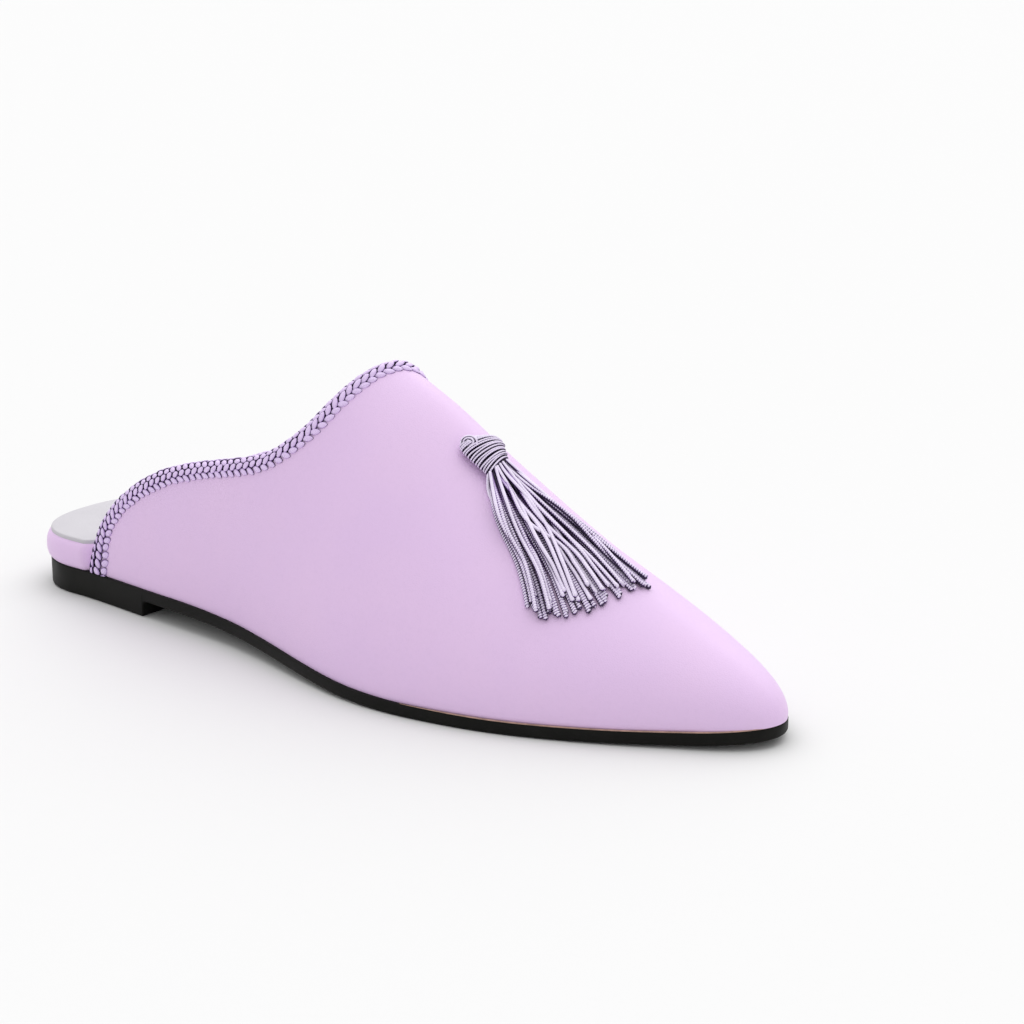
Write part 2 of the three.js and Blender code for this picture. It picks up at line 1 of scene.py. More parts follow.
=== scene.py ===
import bpy
import math
import numpy as np
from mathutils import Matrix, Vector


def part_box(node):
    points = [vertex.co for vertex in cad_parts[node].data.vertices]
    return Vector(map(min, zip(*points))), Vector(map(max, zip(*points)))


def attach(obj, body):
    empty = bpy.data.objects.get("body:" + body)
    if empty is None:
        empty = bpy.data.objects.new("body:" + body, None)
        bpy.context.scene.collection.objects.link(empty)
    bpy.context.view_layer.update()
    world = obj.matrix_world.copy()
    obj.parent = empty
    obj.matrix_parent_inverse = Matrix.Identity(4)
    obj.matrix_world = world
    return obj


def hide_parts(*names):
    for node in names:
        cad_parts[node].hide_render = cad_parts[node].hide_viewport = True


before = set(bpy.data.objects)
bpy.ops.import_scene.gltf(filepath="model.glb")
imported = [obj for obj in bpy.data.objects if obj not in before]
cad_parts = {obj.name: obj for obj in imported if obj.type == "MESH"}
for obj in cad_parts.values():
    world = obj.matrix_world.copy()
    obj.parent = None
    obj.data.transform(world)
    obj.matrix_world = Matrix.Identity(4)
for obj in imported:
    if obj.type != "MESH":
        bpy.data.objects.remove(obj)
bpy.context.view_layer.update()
bpy.ops.object.select_all(action="DESELECT")

bl_info = {
    "name": "Pointed backless slipper",
    "version": (1, 0, 0),
    "blender": (4, 5, 0),
    "location": "3D View > Sidebar > Slipper",
    "description": "Models a satin leather slipper with a plaited collar and a tassel on its vamp",
    "category": "Object",
}

# Sizes in this file are millimetres, and place() turns them into metres.
# x runs forward from the back of the heel, the outer side of the foot is at -Y, z is up.
HEEL_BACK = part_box("outsole")[0].x * 1000
SOLE_LENGTH = 267.0
HEEL_ROUND_LENGTH = 24.0
HEEL_SQUARENESS = 2.36
NOSE_START = 250.0
NOSE_LENGTH = SOLE_LENGTH - NOSE_START
TOE_POINT_Y = -2.2
OUTSOLE_THICKNESS = 3.7
EDGE_RADIUS = 0.8
# The heel's front face: its place, its steepness over a short run, and the fillet at its top
HEEL_BREAST = 57.0
BREAST_SLOPE = 10.0
BREAST_RUN = 0.26
BREAST_FILLET = 1.6
UPPER_WALL = 1.7
FEATHER_INSET = 0.6
NOSE_HEIGHT_POWER = 1.1
CEMENT_START = 172
CEMENT_INSET = 0.42
# Radius of the line of cement at its start and round the toe, and the length over which it grows
CEMENT_RADIUS = (0.08, 0.25)
CEMENT_GROWTH_LENGTH = 24
FOOTBED_BULGE = 1.2
SOCK_INSET = FOOTBED_BULGE + 0.4
FOOTBED_TUCK_START = 28.0
FOOTBED_TUCK_END = 33.2
# Clearance between a sub-part and what carries it
GAP = 0.3


def named_columns(names, *rows):
    """A table as a dictionary of its columns."""
    return dict(zip(names.split(), np.array(rows, float).T))


def rows_of(table):
    """The rows of a table, each as a dictionary."""
    return [dict(zip(table, row)) for row in zip(*table.values())]


SOLE_PLAN = named_columns(
    "x outer inner",
    (24, -27.6, 27.6),
    (40, -28.6, 28.0),
    (62, -31.0, 27.2),
    (85, -33.1, 26.0),
    (100, -35.2, 25.6),
    (118, -39.4, 26.4),
    (136, -44.2, 28.7),
    (152, -47.5, 31.0),
    (166, -48.3, 32.0),
    (182, -46.8, 32.2),
    (200, -43.0, 31.0),
    (218, -36.4, 28.8),
    (234, -28.8, 24.2),
    (250, -20.1, 16.8),
)

SOLE_HEIGHT = named_columns(
    "x top",
    (0, 8.7),
    (72, 8.7),
    (95, 8.0),
    (115, 6.8),
    (135, 5.4),
    (155, 4.2),
    (175, 3.7),
    (200, 3.7),
    (230, 4.1),
    (250, 4.8),
    (267, 6.0),
)

LAST = named_columns(
    "x crest shift upright outer_flat inner_flat swell",
    (30, 111, 0.7, 0.36, 0.37, 0.62, 0.5),
    (108, 93.2, 0.7, 0.36, 0.37, 0.62, 1.1),
    (128, 85.3, 2.7, 0.36, 0.37, 0.63, 1.3),
    (147, 77.0, 0.7, 0.36, 0.37, 0.62, 1.5),
    (170, 62.5, -0.1, 0.36, 0.37, 0.60, 1.9),
    (200, 45.7, -1.4, 0.36, 0.38, 0.56, 2.2),
    (220, 35.8, -1.9, 0.46, 0.38, 0.55, 1.8),
    (236, 28.1, -2.1, 0.56, 0.39, 0.54, 1.2),
    (250, 21.5, -2.2, 0.62, 0.39, 0.53, 0.8),
)

COLLAR = named_columns(
    "turn x",
    (0, 33.2),
    (0.027, 35.0),
    (0.05, 36.8),
    (0.094, 44.5),
    (0.131, 56.3),
    (0.16, 70.3),
    (0.183, 85.6),
    (0.21, 101.3),
    (0.243, 111.6),
    (0.282, 118.4),
    (0.34, 124.0),
    (0.402, 128.4),
    (0.45, 131.2),
    (0.5, 133.4),
    (0.54, 134.6),
    (0.58, 134.5),
    (0.62, 132.8),
    (0.66, 129.6),
    (0.7, 125.0),
    (0.742, 118.6),
    (0.793, 110.0),
    (0.825, 98.0),
    (0.845, 85.0),
    (0.86, 71.0),
    (0.878, 57.0),
    (0.909, 45.2),
    (0.95, 37.2),
    (0.973, 35.0),
    (1, 33.2),
)

FOOTBED = named_columns(
    "x thickness",
    (0, 8.3),
    (60, 8.3),
    (100, 6.8),
    (150, 4.4),
    (200, 3.4),
    (267, 3.0),
)

# The wrapped edge of the footbed, from the sole up: share of its thickness and extra inset
FOOTBED_EDGE = named_columns(
    "share inset",
    (0, 1.5),
    (0.07, 0.9),
    (0.16, 0.42),
    (0.28, 0.12),
    (0.42, 0),
    (0.56, 0.02),
    (0.68, 0.14),
    (0.79, 0.38),
    (0.88, 0.72),
    (0.95, 1.12),
    (0.995, 1.6),
    (1.0, 2.2),
)


# Curves through the tables


def hermite(at, value, slope, x):
    x = np.clip(np.asarray(x, float), at[0], at[-1])
    i = np.clip(np.searchsorted(at, x, side="left") - 1, 0, len(at) - 2)
    h = at[i + 1] - at[i]
    t = (x - at[i]) / h
    start = (2 * t**3 - 3 * t**2 + 1) * value[i] + (t**3 - 2 * t**2 + t) * h * slope[i]
    end = (-2 * t**3 + 3 * t**2) * value[i + 1] + (t**3 - t**2) * h * slope[i + 1]
    return start + end


def spline(table, across, column, start_slope=None, end_slope=None):
    """Smooth curve with the given slopes at its two ends."""
    at, value = table[across], table[column]
    n = len(at)
    step = np.diff(at)
    rise = np.diff(value) / step
    matrix = np.eye(n)
    right = np.zeros(n)
    right[0] = rise[0] if start_slope is None else start_slope
    right[-1] = rise[-1] if end_slope is None else end_slope
    for i in range(1, n - 1):
        matrix[i, i - 1] = step[i]
        matrix[i, i] = 2 * (step[i] + step[i - 1])
        matrix[i, i + 1] = step[i - 1]
        right[i] = 3 * (rise[i - 1] * step[i] + rise[i] * step[i - 1])
    slope = np.linalg.solve(matrix, right)
    return lambda x: hermite(at, value, slope, x)


def steady(table, across, column):
    """Curve that never overshoots its rows, so level stretches stay level."""
    at, value = table[across], table[column]
    step = np.diff(at)
    rise = np.diff(value) / step
    slope = np.zeros(len(at))
    slope[0] = rise[0]
    slope[-1] = rise[-1]
    for i in range(1, len(at) - 1):
        if rise[i - 1] * rise[i] > 0:
            w1 = 2 * step[i] + step[i - 1]
            w2 = step[i] + 2 * step[i - 1]
            slope[i] = (w1 + w2) / (w1 / rise[i - 1] + w2 / rise[i])
    return lambda x: hermite(at, value, slope, x)


def nose_slope(column):
    return (TOE_POINT_Y - SOLE_PLAN[column][-1]) / (2 * NOSE_LENGTH)


outer_edge = spline(SOLE_PLAN, "x", "outer", 0, nose_slope("outer"))
inner_edge = spline(SOLE_PLAN, "x", "inner", 0, nose_slope("inner"))
sole_top = steady(SOLE_HEIGHT, "x", "top")
crest_height, crest_shift, upright_share, outer_flatness, inner_flatness, wall_swell = (
    steady(LAST, "x", name) for name in ("crest", "shift", "upright", "outer_flat", "inner_flat", "swell"))
collar_place = spline(COLLAR, "turn", "x")
footbed_thickness = steady(FOOTBED, "x", "thickness")


# The last


def smooth_step(x, low, high):
    t = np.clip((np.asarray(x, float) - low) / (high - low), 0, 1)
    return t * t * (3 - 2 * t)


def nose_share(x):
    return np.sqrt(np.clip((SOLE_LENGTH - x) / NOSE_LENGTH, 0, 1))


def sole_edge(x, side):
    """Half width of the sole's outline, on the outer side (-1) or the inner side (1)."""
    edge = outer_edge if side < 0 else inner_edge
    x = np.asarray(x, float)
    back = np.clip(1 - x / HEEL_ROUND_LENGTH, 0, 1)
    heel = float(edge(HEEL_ROUND_LENGTH)) * (1 - back**HEEL_SQUARENESS) ** (1 / HEEL_SQUARENESS)
    body = TOE_POINT_Y + (edge(np.minimum(x, NOSE_START)) - TOE_POINT_Y) * nose_share(x)
    return np.where(x < HEEL_ROUND_LENGTH, heel, body)


def bezier(a, b, c, d, t):
    s = 1 - t
    return a * s**3 + 3 * b * t * s**2 + 3 * c * t**2 * s + d * t**3


def last_point(x, turn):
    """Points on the outside of the upper: turn is 0 at the outer sole, 0.5 on the crest, 1 inner."""
    x, turn = np.broadcast_arrays(np.asarray(x, float), np.asarray(turn, float))
    outer = turn < 0.5
    side = np.where(outer, -1.0, 1.0)
    t = np.where(outer, 2 * turn, 2 * (1 - turn))
    body = np.minimum(x, NOSE_START)
    nose = nose_share(x)
    edge = np.where(outer, outer_edge(body), inner_edge(body)) - side * FEATHER_INSET
    flat = np.where(outer, outer_flatness(body), inner_flatness(body))
    shift = crest_shift(body)
    swollen = edge + side * wall_swell(body)
    across = bezier(edge, swollen, shift + flat * (edge - shift), shift, t)
    foot = sole_top(x) + GAP
    height = (crest_height(body) - sole_top(body) - GAP) * nose**NOSE_HEIGHT_POWER
    up = bezier(0, upright_share(body) * height, height, height, t)
    y = TOE_POINT_Y + (across - TOE_POINT_Y) * nose
    return np.stack([x, y, foot + up], -1)


def unit(v):
    length = np.linalg.norm(v, axis=-1, keepdims=True)
    return v / np.maximum(length, 1e-12)


def lengths_along(path):
    """Length from the start of a path to each of its points."""
    return np.concatenate([[0], np.cumsum(np.linalg.norm(np.diff(path, axis=0), axis=1))])


def last_normal(x, turn):
    x, turn = np.broadcast_arrays(np.asarray(x, float), np.asarray(turn, float))
    front = last_point(np.minimum(x + 0.05, SOLE_LENGTH), turn)
    back = last_point(x - 0.05, turn)
    more = last_point(x, np.minimum(turn + 0.0005, 1))
    less = last_point(x, np.maximum(turn - 0.0005, 0))
    return -unit(np.cross(more - less, front - back))


def vamp_turn(x, y):
    """The turn at which the upper lies at a plan place."""
    x, y = np.broadcast_arrays(np.asarray(x, float), np.asarray(y, float))
    low = np.full(x.shape, 0.12)
    high = np.full(x.shape, 0.88)
    for _ in range(34):
        middle = (low + high) / 2
        short = last_point(x, middle)[..., 1] < y
        low = np.where(short, middle, low)
        high = np.where(short, high, middle)
    return low


def collar_centre(turn):
    """Middle of the upper's wall at the collar's edge, and the outward direction there."""
    x = collar_place(turn)
    outward = last_normal(x, turn)
    return last_point(x, turn) - outward * (UPPER_WALL / 2), outward


def collar_frame(turn):
    """Centre of the collar's edge, and its directions along, outwards and towards the vamp."""
    centre, outward = collar_centre(turn)
    ahead = collar_centre(np.minimum(turn + 0.002, 1))[0]
    behind = collar_centre(np.maximum(turn - 0.002, 0))[0]
    along = unit(ahead - behind)
    aside = unit(np.cross(along, outward))
    return centre, along, np.cross(aside, along), aside


# The footbed and the sole's outline


def footbed_inset(x):
    inside = FEATHER_INSET + UPPER_WALL + 1.5 * GAP
    share = smooth_step(x, FOOTBED_TUCK_START, FOOTBED_TUCK_END)
    return -FOOTBED_BULGE + (inside + FOOTBED_BULGE) * share


def footbed_top(x):
    return sole_top(x) + GAP + footbed_thickness(x)


def outsole_bottom(x):
    """The underside: flat heel, its breast with a rounded foot and a filleted top, then the arch."""
    past = np.asarray(x, float) - HEEL_BREAST
    fillet_end = BREAST_RUN + BREAST_FILLET
    foot = EDGE_RADIUS - np.sqrt(np.clip(EDGE_RADIUS**2 - (past + EDGE_RADIUS) ** 2, 0, None))
    steep = EDGE_RADIUS + past * BREAST_SLOPE
    top = float(sole_top(HEEL_BREAST)) - OUTSOLE_THICKNESS
    fillet = top - BREAST_FILLET + np.sqrt(np.clip(BREAST_FILLET**2 - (past - fillet_end) ** 2, 0, None))
    stretches = [past < -EDGE_RADIUS, past < 0, past < BREAST_RUN, past < fillet_end]
    return np.select(stretches, [0 * past, foot, steep, fillet], sole_top(x) - OUTSOLE_THICKNESS)


def sole_stations(extra=()):
    heel = HEEL_ROUND_LENGTH * (1 - np.cos(np.linspace(0, math.pi / 2, 19)))
    body = np.arange(HEEL_ROUND_LENGTH + 3, NOSE_START, 3.0)
    nose = SOLE_LENGTH - NOSE_LENGTH * (1 - np.linspace(0, 1, 15)) ** 2
    return np.unique(np.round(np.concatenate([heel, body, nose, np.asarray(extra, float)]), 4))


def footbed_stations():
    """The sole's stations, closer where the footbed tucks in under the upper."""
    return sole_stations(np.arange(FOOTBED_TUCK_START, FOOTBED_TUCK_END + 0.4, 0.65))


def sole_ring(stations, inset, height):
    """The outline moved in by an inset: outer side forward, then inner side back."""
    n = len(stations) - 1
    x = np.concatenate([stations, stations[n - 1:0:-1]])
    outer = sole_edge(stations, -1)
    inner = sole_edge(stations, 1)[n - 1:0:-1]
    outline = np.stack([x, np.concatenate([outer, inner])], 1)
    along = unit(np.roll(outline, -1, 0) - np.roll(outline, 1, 0))
    along[0] = (0, -1)
    along[n] = (0, 1)
    depth = inset(x)
    return np.stack([x - along[:, 1] * depth, outline[:, 1] + along[:, 0] * depth, height(x)], 1)


# Modelling helpers


def place(points):
    """Millimetres from the back of the heel to metres in the shoe's own frame."""
    points = np.asarray(points, float).reshape(-1, 3)
    return (points + np.array([HEEL_BACK, 0, 0])) * 0.001


def deselect():
    bpy.ops.object.select_all(action="DESELECT")


def make_active(piece):
    deselect()
    piece.select_set(True)
    bpy.context.view_layer.objects.active = piece


def lofted_grid(name, points):
    """A grid primitive whose vertices are laid on rows of points: points[row, column]."""
    rows, columns = points.shape[:2]
    bpy.ops.mesh.primitive_grid_add(x_subdivisions=columns - 1, y_subdivisions=rows - 1, size=2)
    piece = bpy.context.object
    piece.name = name
    piece.data.name = name
    if len(piece.data.vertices) != rows * columns:
        raise RuntimeError(f"{name}: the grid doesn't have {rows * columns} vertices")
    piece.data.vertices.foreach_set("co", place(points).ravel())
    piece.data.update()
    return piece


def join(pieces, name):
    deselect()
    for piece in pieces:
        piece.select_set(True)
    bpy.context.view_layer.objects.active = pieces[0]
    if len(pieces) > 1:
        bpy.ops.object.join()
    pieces[0].name = name
    pieces[0].data.name = name
    return pieces[0]


def edit(piece, *steps):
    """Runs edit-mode steps on all of a piece."""
    make_active(piece)
    bpy.ops.object.mode_set(mode="EDIT")
    bpy.ops.mesh.select_mode(type="VERT")
    bpy.ops.mesh.select_all(action="SELECT")
    for step in steps:
        step()
    bpy.ops.object.mode_set(mode="OBJECT")


def merge(distance=1e-6):
    return lambda: bpy.ops.mesh.remove_doubles(threshold=distance)


def on_open_edges(close):
    """An edit-mode step that closes a piece's open edges, by fill or bridge_edge_loops."""
    def step():
        bpy.ops.mesh.select_all(action="DESELECT")
        bpy.ops.mesh.select_mode(type="EDGE")
        bpy.ops.mesh.select_non_manifold()
        close()
        bpy.ops.mesh.select_all(action="SELECT")

    return step


def face_outwards():
    bpy.ops.mesh.normals_make_consistent(inside=False)


def smooth(piece, angle=None):
    make_active(piece)
    if angle is None:
        bpy.ops.object.shade_smooth()
    else:
        bpy.ops.object.shade_smooth_by_angle(angle=math.radians(angle))


def dress(piece, materials, slot, *nodes):
    """Finishes a piece: materials, the body it rides on and the nodes it stands for; slot is not used."""
    for name in materials:
        piece.data.materials.append(bpy.data.materials[name])
    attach(piece, "root")
    if nodes:
        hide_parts(*nodes)
    deselect()


def point_attribute(piece, name, values):
    attribute = piece.data.attributes.new(name, "FLOAT", "POINT")
    attribute.data.foreach_set("value", np.asarray(values, np.float32).ravel())


def layered_piece(name, stations, levels, across=24):
    """A closed piece from rings on the sole's outline, with a gridded top and bottom."""
    rings = np.array([sole_ring(stations, inset, height) for inset, height in levels])
    closed = np.concatenate([rings, rings[:, :1]], 1)
    wall = lofted_grid(name, closed)
    n = len(stations) - 1
    parts = [wall]
    for ring in (rings[-1], rings[0]):
        outer = ring[:n + 1]
        inner = np.concatenate([ring[:1], ring[:n - 1:-1]])
        share = np.linspace(0, 1, across + 1)[:, None, None]
        sheet = outer[None] * (1 - share) + inner[None] * share
        parts.append(lofted_grid(name + "_face", sheet))
    piece = join(parts, name)
    edit(piece, merge(2e-6), face_outwards)
    return piece


# Materials


def new_material(name):
    """A new material's node tree, its shader and its object coordinates."""
    material = bpy.data.materials.new(name)
    material.use_nodes = True
    tree = material.node_tree
    at = tree.nodes.new("ShaderNodeTexCoord").outputs["Object"]
    return tree, tree.nodes["Principled BSDF"], at


def node(tree, kind, **values):
    made = tree.nodes.new(kind)
    for key, value in values.items():
        if key in made.inputs:
            made.inputs[key].default_value = value
        else:
            setattr(made, key, value)
    return made


def plug(tree, value, socket):
    """Links a socket to an input, or sets a plain value on it."""
    if isinstance(value, bpy.types.NodeSocket):
        tree.links.new(value, socket)
    elif value is not None:
        socket.default_value = value


def set_inputs(made, values):
    for name, value in values.items():
        made.inputs[name].default_value = value


def connect(tree, shader, colour, roughness=None, normal=None):
    """Links the finished colour, roughness and normal to the shader."""
    for name, value in (("Base Color", colour), ("Roughness", roughness), ("Normal", normal)):
        if value is not None:
            tree.links.new(value, shader.inputs[name])


def rgba(colour, share=1.0):
    """A colour with its alpha, at a share of its brightness."""
    return (*(c * share for c in colour[:3]), 1.0)


def mix_colours(tree, factor, first, second):
    """A colour mix; factor, first and second are sockets or colours."""
    mix = node(tree, "ShaderNodeMix", data_type="RGBA")
    for index, value in ((0, factor), (6, first), (7, second)):
        plug(tree, value, mix.inputs[index])
    return mix.outputs[2]


def noise(tree, vector, scale, detail=2.0, roughness=0.5):
    made = node(tree, "ShaderNodeTexNoise", Scale=scale, Detail=detail, Roughness=roughness)
    tree.links.new(vector, made.inputs["Vector"])
    return made.outputs["Fac"]


def ramp(tree, value, low, high, low_value=0.0, high_value=1.0):
    made = tree.nodes.new("ShaderNodeMapRange")
    set_inputs(made, {"From Min": low, "From Max": high, "To Min": low_value, "To Max": high_value})
    tree.links.new(value, made.inputs["Value"])
    return made.outputs["Result"]


def math_node(tree, operation, first, second=None):
    made = node(tree, "ShaderNodeMath", operation=operation)
    plug(tree, first, made.inputs[0])
    plug(tree, second, made.inputs[1])
    return made.outputs[0]


def bump(tree, height, distance, strength=1.0, under=None):
    made = node(tree, "ShaderNodeBump", Strength=strength, Distance=distance)
    tree.links.new(height, made.inputs["Height"])
    plug(tree, under, made.inputs["Normal"])
    return made.outputs["Normal"]


def pore_grain(tree, at, scale, width, distance, strength):
    """A leather's pores, as a fine net of cells."""
    pores = node(tree, "ShaderNodeTexVoronoi", Scale=scale, feature="DISTANCE_TO_EDGE")
    tree.links.new(at, pores.inputs["Vector"])
    return bump(tree, ramp(tree, pores.outputs["Distance"], 0.0, width), distance, strength)


def split_vector(tree, vector):
    split = tree.nodes.new("ShaderNodeSeparateXYZ")
    tree.links.new(vector, split.inputs[0])
    return split.outputs


def satin_leather(settings):
    """Smooth dyed leather: two close lilacs in soft clouds, a fine pore grain and slight waves."""
    tree, shader, at = new_material("lilac_satin_leather")
    clouds = noise(tree, at, 28.0, 3.0, 0.55)
    flecks = ramp(tree, noise(tree, at, 900.0), 0.5, 0.85, 0.0, 0.35)
    lilac, blush = rgba(settings.leather), rgba(settings.leather_blush)
    base = mix_colours(tree, ramp(tree, clouds, 0.35, 0.65), lilac, blush)
    colour = mix_colours(tree, flecks, base, rgba(settings.leather, 0.93))
    grain = pore_grain(tree, at, 1500.0, 0.25, 0.000035, 0.5)
    waves = bump(tree, noise(tree, at, 60.0, 2.0, 0.4), 0.00012, 0.7, grain)
    connect(tree, shader, colour, ramp(tree, clouds, 0.3, 0.7, 0.46, 0.54), waves)
    set_inputs(shader, {"Sheen Weight": 0.08, "Sheen Roughness": 0.4})


def pale_lining(settings):
    """Thin pale sock leather with a soft grain."""
    tree, shader, at = new_material("pale_sock_leather")
    clouds = noise(tree, at, 40.0, 3.0)
    pale, shaded = rgba(settings.lining), rgba(settings.lining, 0.94)
    colour = mix_colours(tree, ramp(tree, clouds, 0.35, 0.65), pale, shaded)
    grain = pore_grain(tree, at, 1100.0, 0.3, 0.00005, 0.6)
    connect(tree, shader, colour, ramp(tree, clouds, 0.3, 0.7, 0.6, 0.7), grain)


def sole_rubber(settings):
    """Black moulded rubber: faint mould texture, and a fine wave tread on what faces the floor."""
    tree, shader, at = new_material("black_moulded_rubber")
    dust = noise(tree, at, 120.0, 4.0, 0.6)
    lighter = tuple(c * 1.6 + 0.004 for c in settings.rubber[:3])
    colour = mix_colours(tree, ramp(tree, dust, 0.45, 0.8), rgba(settings.rubber), rgba(lighter))
    wave = node(tree, "ShaderNodeTexWave", Scale=95.0, Distortion=2.5, Detail=0.0)
    wave.inputs["Detail Scale"].default_value = 0.35
    tree.links.new(at, wave.inputs["Vector"])
    normal = split_vector(tree, tree.nodes.new("ShaderNodeNewGeometry").outputs["Normal"])
    facing_floor = ramp(tree, normal["Z"], -0.7, -0.95)
    tread = math_node(tree, "MULTIPLY", facing_floor, ramp(tree, wave.outputs["Fac"], 0.3, 0.6))
    grooves = bump(tree, tread, 0.0006)
    grain = bump(tree, noise(tree, at, 2200.0), 0.00004, 0.6, grooves)
    connect(tree, shader, colour, ramp(tree, dust, 0.3, 0.7, 0.42, 0.56), grain)
    set_inputs(shader, {"Specular IOR Level": 0.13})


def cement_line_finish(settings):
    """The thin line of tan cement that shows where the upper meets the sole."""
    tree, shader, at = new_material("tan_sole_cement")
    patches = ramp(tree, noise(tree, at, 350.0, 3.0, 0.6), 0.4, 0.7)
    connect(tree, shader, mix_colours(tree, patches, rgba(settings.cement), rgba(settings.cement, 0.6)))
    set_inputs(shader, {"Roughness": 0.55})


def yarn(name, light, settings, relief):
    """Satin yarn in painted light and shade: painted crevice shade between the plies where the
    painted-light attribute is low, light on their backs.

    relief(tree) gives a height, how much of it shows, from 0 to 1, and its depth.
    """
    tree, shader, at = new_material(name)
    painted_light = node(tree, "ShaderNodeAttribute", attribute_name="painted_light").outputs["Fac"]
    height, share, depth = relief(tree)
    # Painted shade: the grooves of the relief are painted darker, as far as the share lets them show.
    painted_groove_shade = math_node(tree, "MULTIPLY", ramp(tree, height, 0.55, 0.05), share)
    painted_light_after_grooves = math_node(tree, "SUBTRACT", painted_light, math_node(tree, "MULTIPLY", painted_groove_shade, 0.52))
    # Painted light ramp: the crevice colour as painted shade, the yarn's painted shade on the flanks, the
    # light colour on the backs.
    colours = tree.nodes.new("ShaderNodeValToRGB")
    stops = colours.color_ramp.elements
    stops[0].position, stops[0].color = 0.3, rgba(settings.painted_crevice_shade)
    stops[1].position, stops[1].color = 0.62, rgba(light)
    stops.new(0.44).color = rgba(settings.painted_yarn_shade)
    tree.links.new(painted_light_after_grooves, colours.inputs["Fac"])
    plain = colours.outputs["Color"]
    streaks = noise(tree, at, 800.0)
    dulled = mix_colours(tree, 0.1, plain, rgba(settings.painted_yarn_shade))
    colour = mix_colours(tree, ramp(tree, streaks, 0.4, 0.7), plain, dulled)
    threads = bump(tree, math_node(tree, "MULTIPLY", height, share), depth, 0.9)
    fuzz = bump(tree, noise(tree, at, 2600.0), 0.00003, 0.4, threads)
    connect(tree, shader, colour, ramp(tree, streaks, 0.3, 0.7, 0.32, 0.46), fuzz)
    set_inputs(shader, {"Sheen Weight": 0.03, "Sheen Roughness": 0.35})
    set_inputs(shader, {"Sheen Tint": (0.92, 0.85, 1.0, 1.0)})


def wave_of(tree, value):
    """0 to 1 and back as value grows by one."""
    turned = math_node(tree, "COSINE", math_node(tree, "MULTIPLY", value, 2 * math.pi))
    return ramp(tree, turned, -1.0, 1.0)


def uv_of(tree):
    return split_vector(tree, tree.nodes.new("ShaderNodeUVMap").outputs["UV"])


def plaited_yarn(settings):
    """The braid's yarn, its threads running along each plait."""
    def relief(tree):
        uv = uv_of(tree)
        threads = wave_of(tree, math_node(tree, "MULTIPLY", uv["X"], 10.0))
        ends = ramp(tree, uv["Y"], 0.02, 0.2)
        return threads, math_node(tree, "MULTIPLY", ends, 0.45), 0.00008
    yarn("plaited_yarn", settings.braid, settings, relief)


def tassel_yarn(settings):
    """The tassel's cord: a yarn wound closely round its core, as ribs that the attribute ribs fades."""
    def relief(tree):
        uv = uv_of(tree)
        along = math_node(tree, "DIVIDE", uv["Y"], sizes().rib_pitch * 1000)
        ribs = wave_of(tree, math_node(tree, "ADD", along, uv["X"]))
        share = node(tree, "ShaderNodeAttribute", attribute_name="ribs").outputs["Fac"]
        return ribs, share, 0.00016
    yarn("tassel_yarn", settings.cord, settings, relief)


def studio_paper(settings):
    """Seamless pale paper under and behind the shoe."""
    tree, shader, at = new_material("studio_paper")
    white, off_white = rgba(settings.paper), rgba(settings.paper, 0.995)
    connect(tree, shader, mix_colours(tree, noise(tree, at, 300.0), white, off_white))
    set_inputs(shader, {"Roughness": 0.9, "Specular IOR Level": 0.1})


# Settings


def colour_setting(name, description, default):
    return bpy.props.FloatVectorProperty(
        name=name, description=description, default=default, size=3, min=0, max=1, subtype="COLOR")


def length_setting(name, description, default):
    """A length in metres, with its default given in millimetres."""
    return bpy.props.FloatProperty(
        name=name, description=description, default=default * 0.001, min=0.0001, max=0.1,
        subtype="DISTANCE", unit="LENGTH", precision=4)


class SlipperFinishes(bpy.types.PropertyGroup):
    leather: colour_setting("Leather", "Main lilac of the upper and footbed", (0.80, 0.575, 0.87))
    leather_blush: colour_setting("Leather blush", "Pinker clouds in the leather", (0.82, 0.59, 0.87))
    lining: colour_setting("Lining", "Sock and inside of the upper", (0.59, 0.57, 0.61))
    rubber: colour_setting("Rubber", "Outsole", (0.004, 0.004, 0.003))
    cement: colour_setting("Cement", "Line between the upper and the sole", (0.52, 0.32, 0.26))
    braid: colour_setting("Braid", "Backs of the collar's plaits", (0.84, 0.66, 0.99))
    cord: colour_setting("Cord", "Backs of the tassel's cords", (0.90, 0.81, 1.0))
    # Painted shade: the next two colours paint the flanks of the plaits and cords and the crevices between
    # them.
    painted_yarn_shade: colour_setting("Painted yarn shade", "Painted shade on the flanks of the plaits and cords", (0.31, 0.16, 0.50))
    painted_crevice_shade: colour_setting("Painted crevice shade", "Painted shade between plaits and cords", (0.012, 0.004, 0.03))
    paper: colour_setting("Paper", "Studio floor", (0.81, 0.81, 0.81))


class SlipperSizes(bpy.types.PropertyGroup):
    plait_pitch: length_setting("Plait pitch", "Step from plait to plait along the collar", 2.7)
    plait_length: length_setting("Plait length", "Length of one plait of the collar", 3.65)
    plait_width: length_setting("Plait width", "Width of one plait of the collar", 2.0)
    cord_diameter: length_setting("Cord diameter", "Diameter of a tassel cord near its end", 1.25)
    rib_pitch: length_setting("Rib pitch", "Step between the windings round a tassel cord", 0.8)
    binding_pitch: length_setting("Binding pitch", "Step between the turns round the tassel's head", 0.72)


def sizes():
    return bpy.context.scene.slipper_sizes


# Upper

UPPER_ROWS = 132
UPPER_COLUMNS = 150
# Share of the columns that lie behind the nose
BODY_SHARE = 0.86
# The upper's foot stands this far over the sole, and turns in by so much within about that height
UPPER_SEAT = 0.03
FOOT_TURN_IN = 0.35
FOOT_TURN_HEIGHT = 0.7


def upper_turns(count):
    """Turns crowded towards the sole on both sides, where the wall curves in."""
    k = np.linspace(0, 1, count // 2 + 1)
    half = 0.5 * k**1.2
    return np.concatenate([half, 1 - half[-2::-1]])


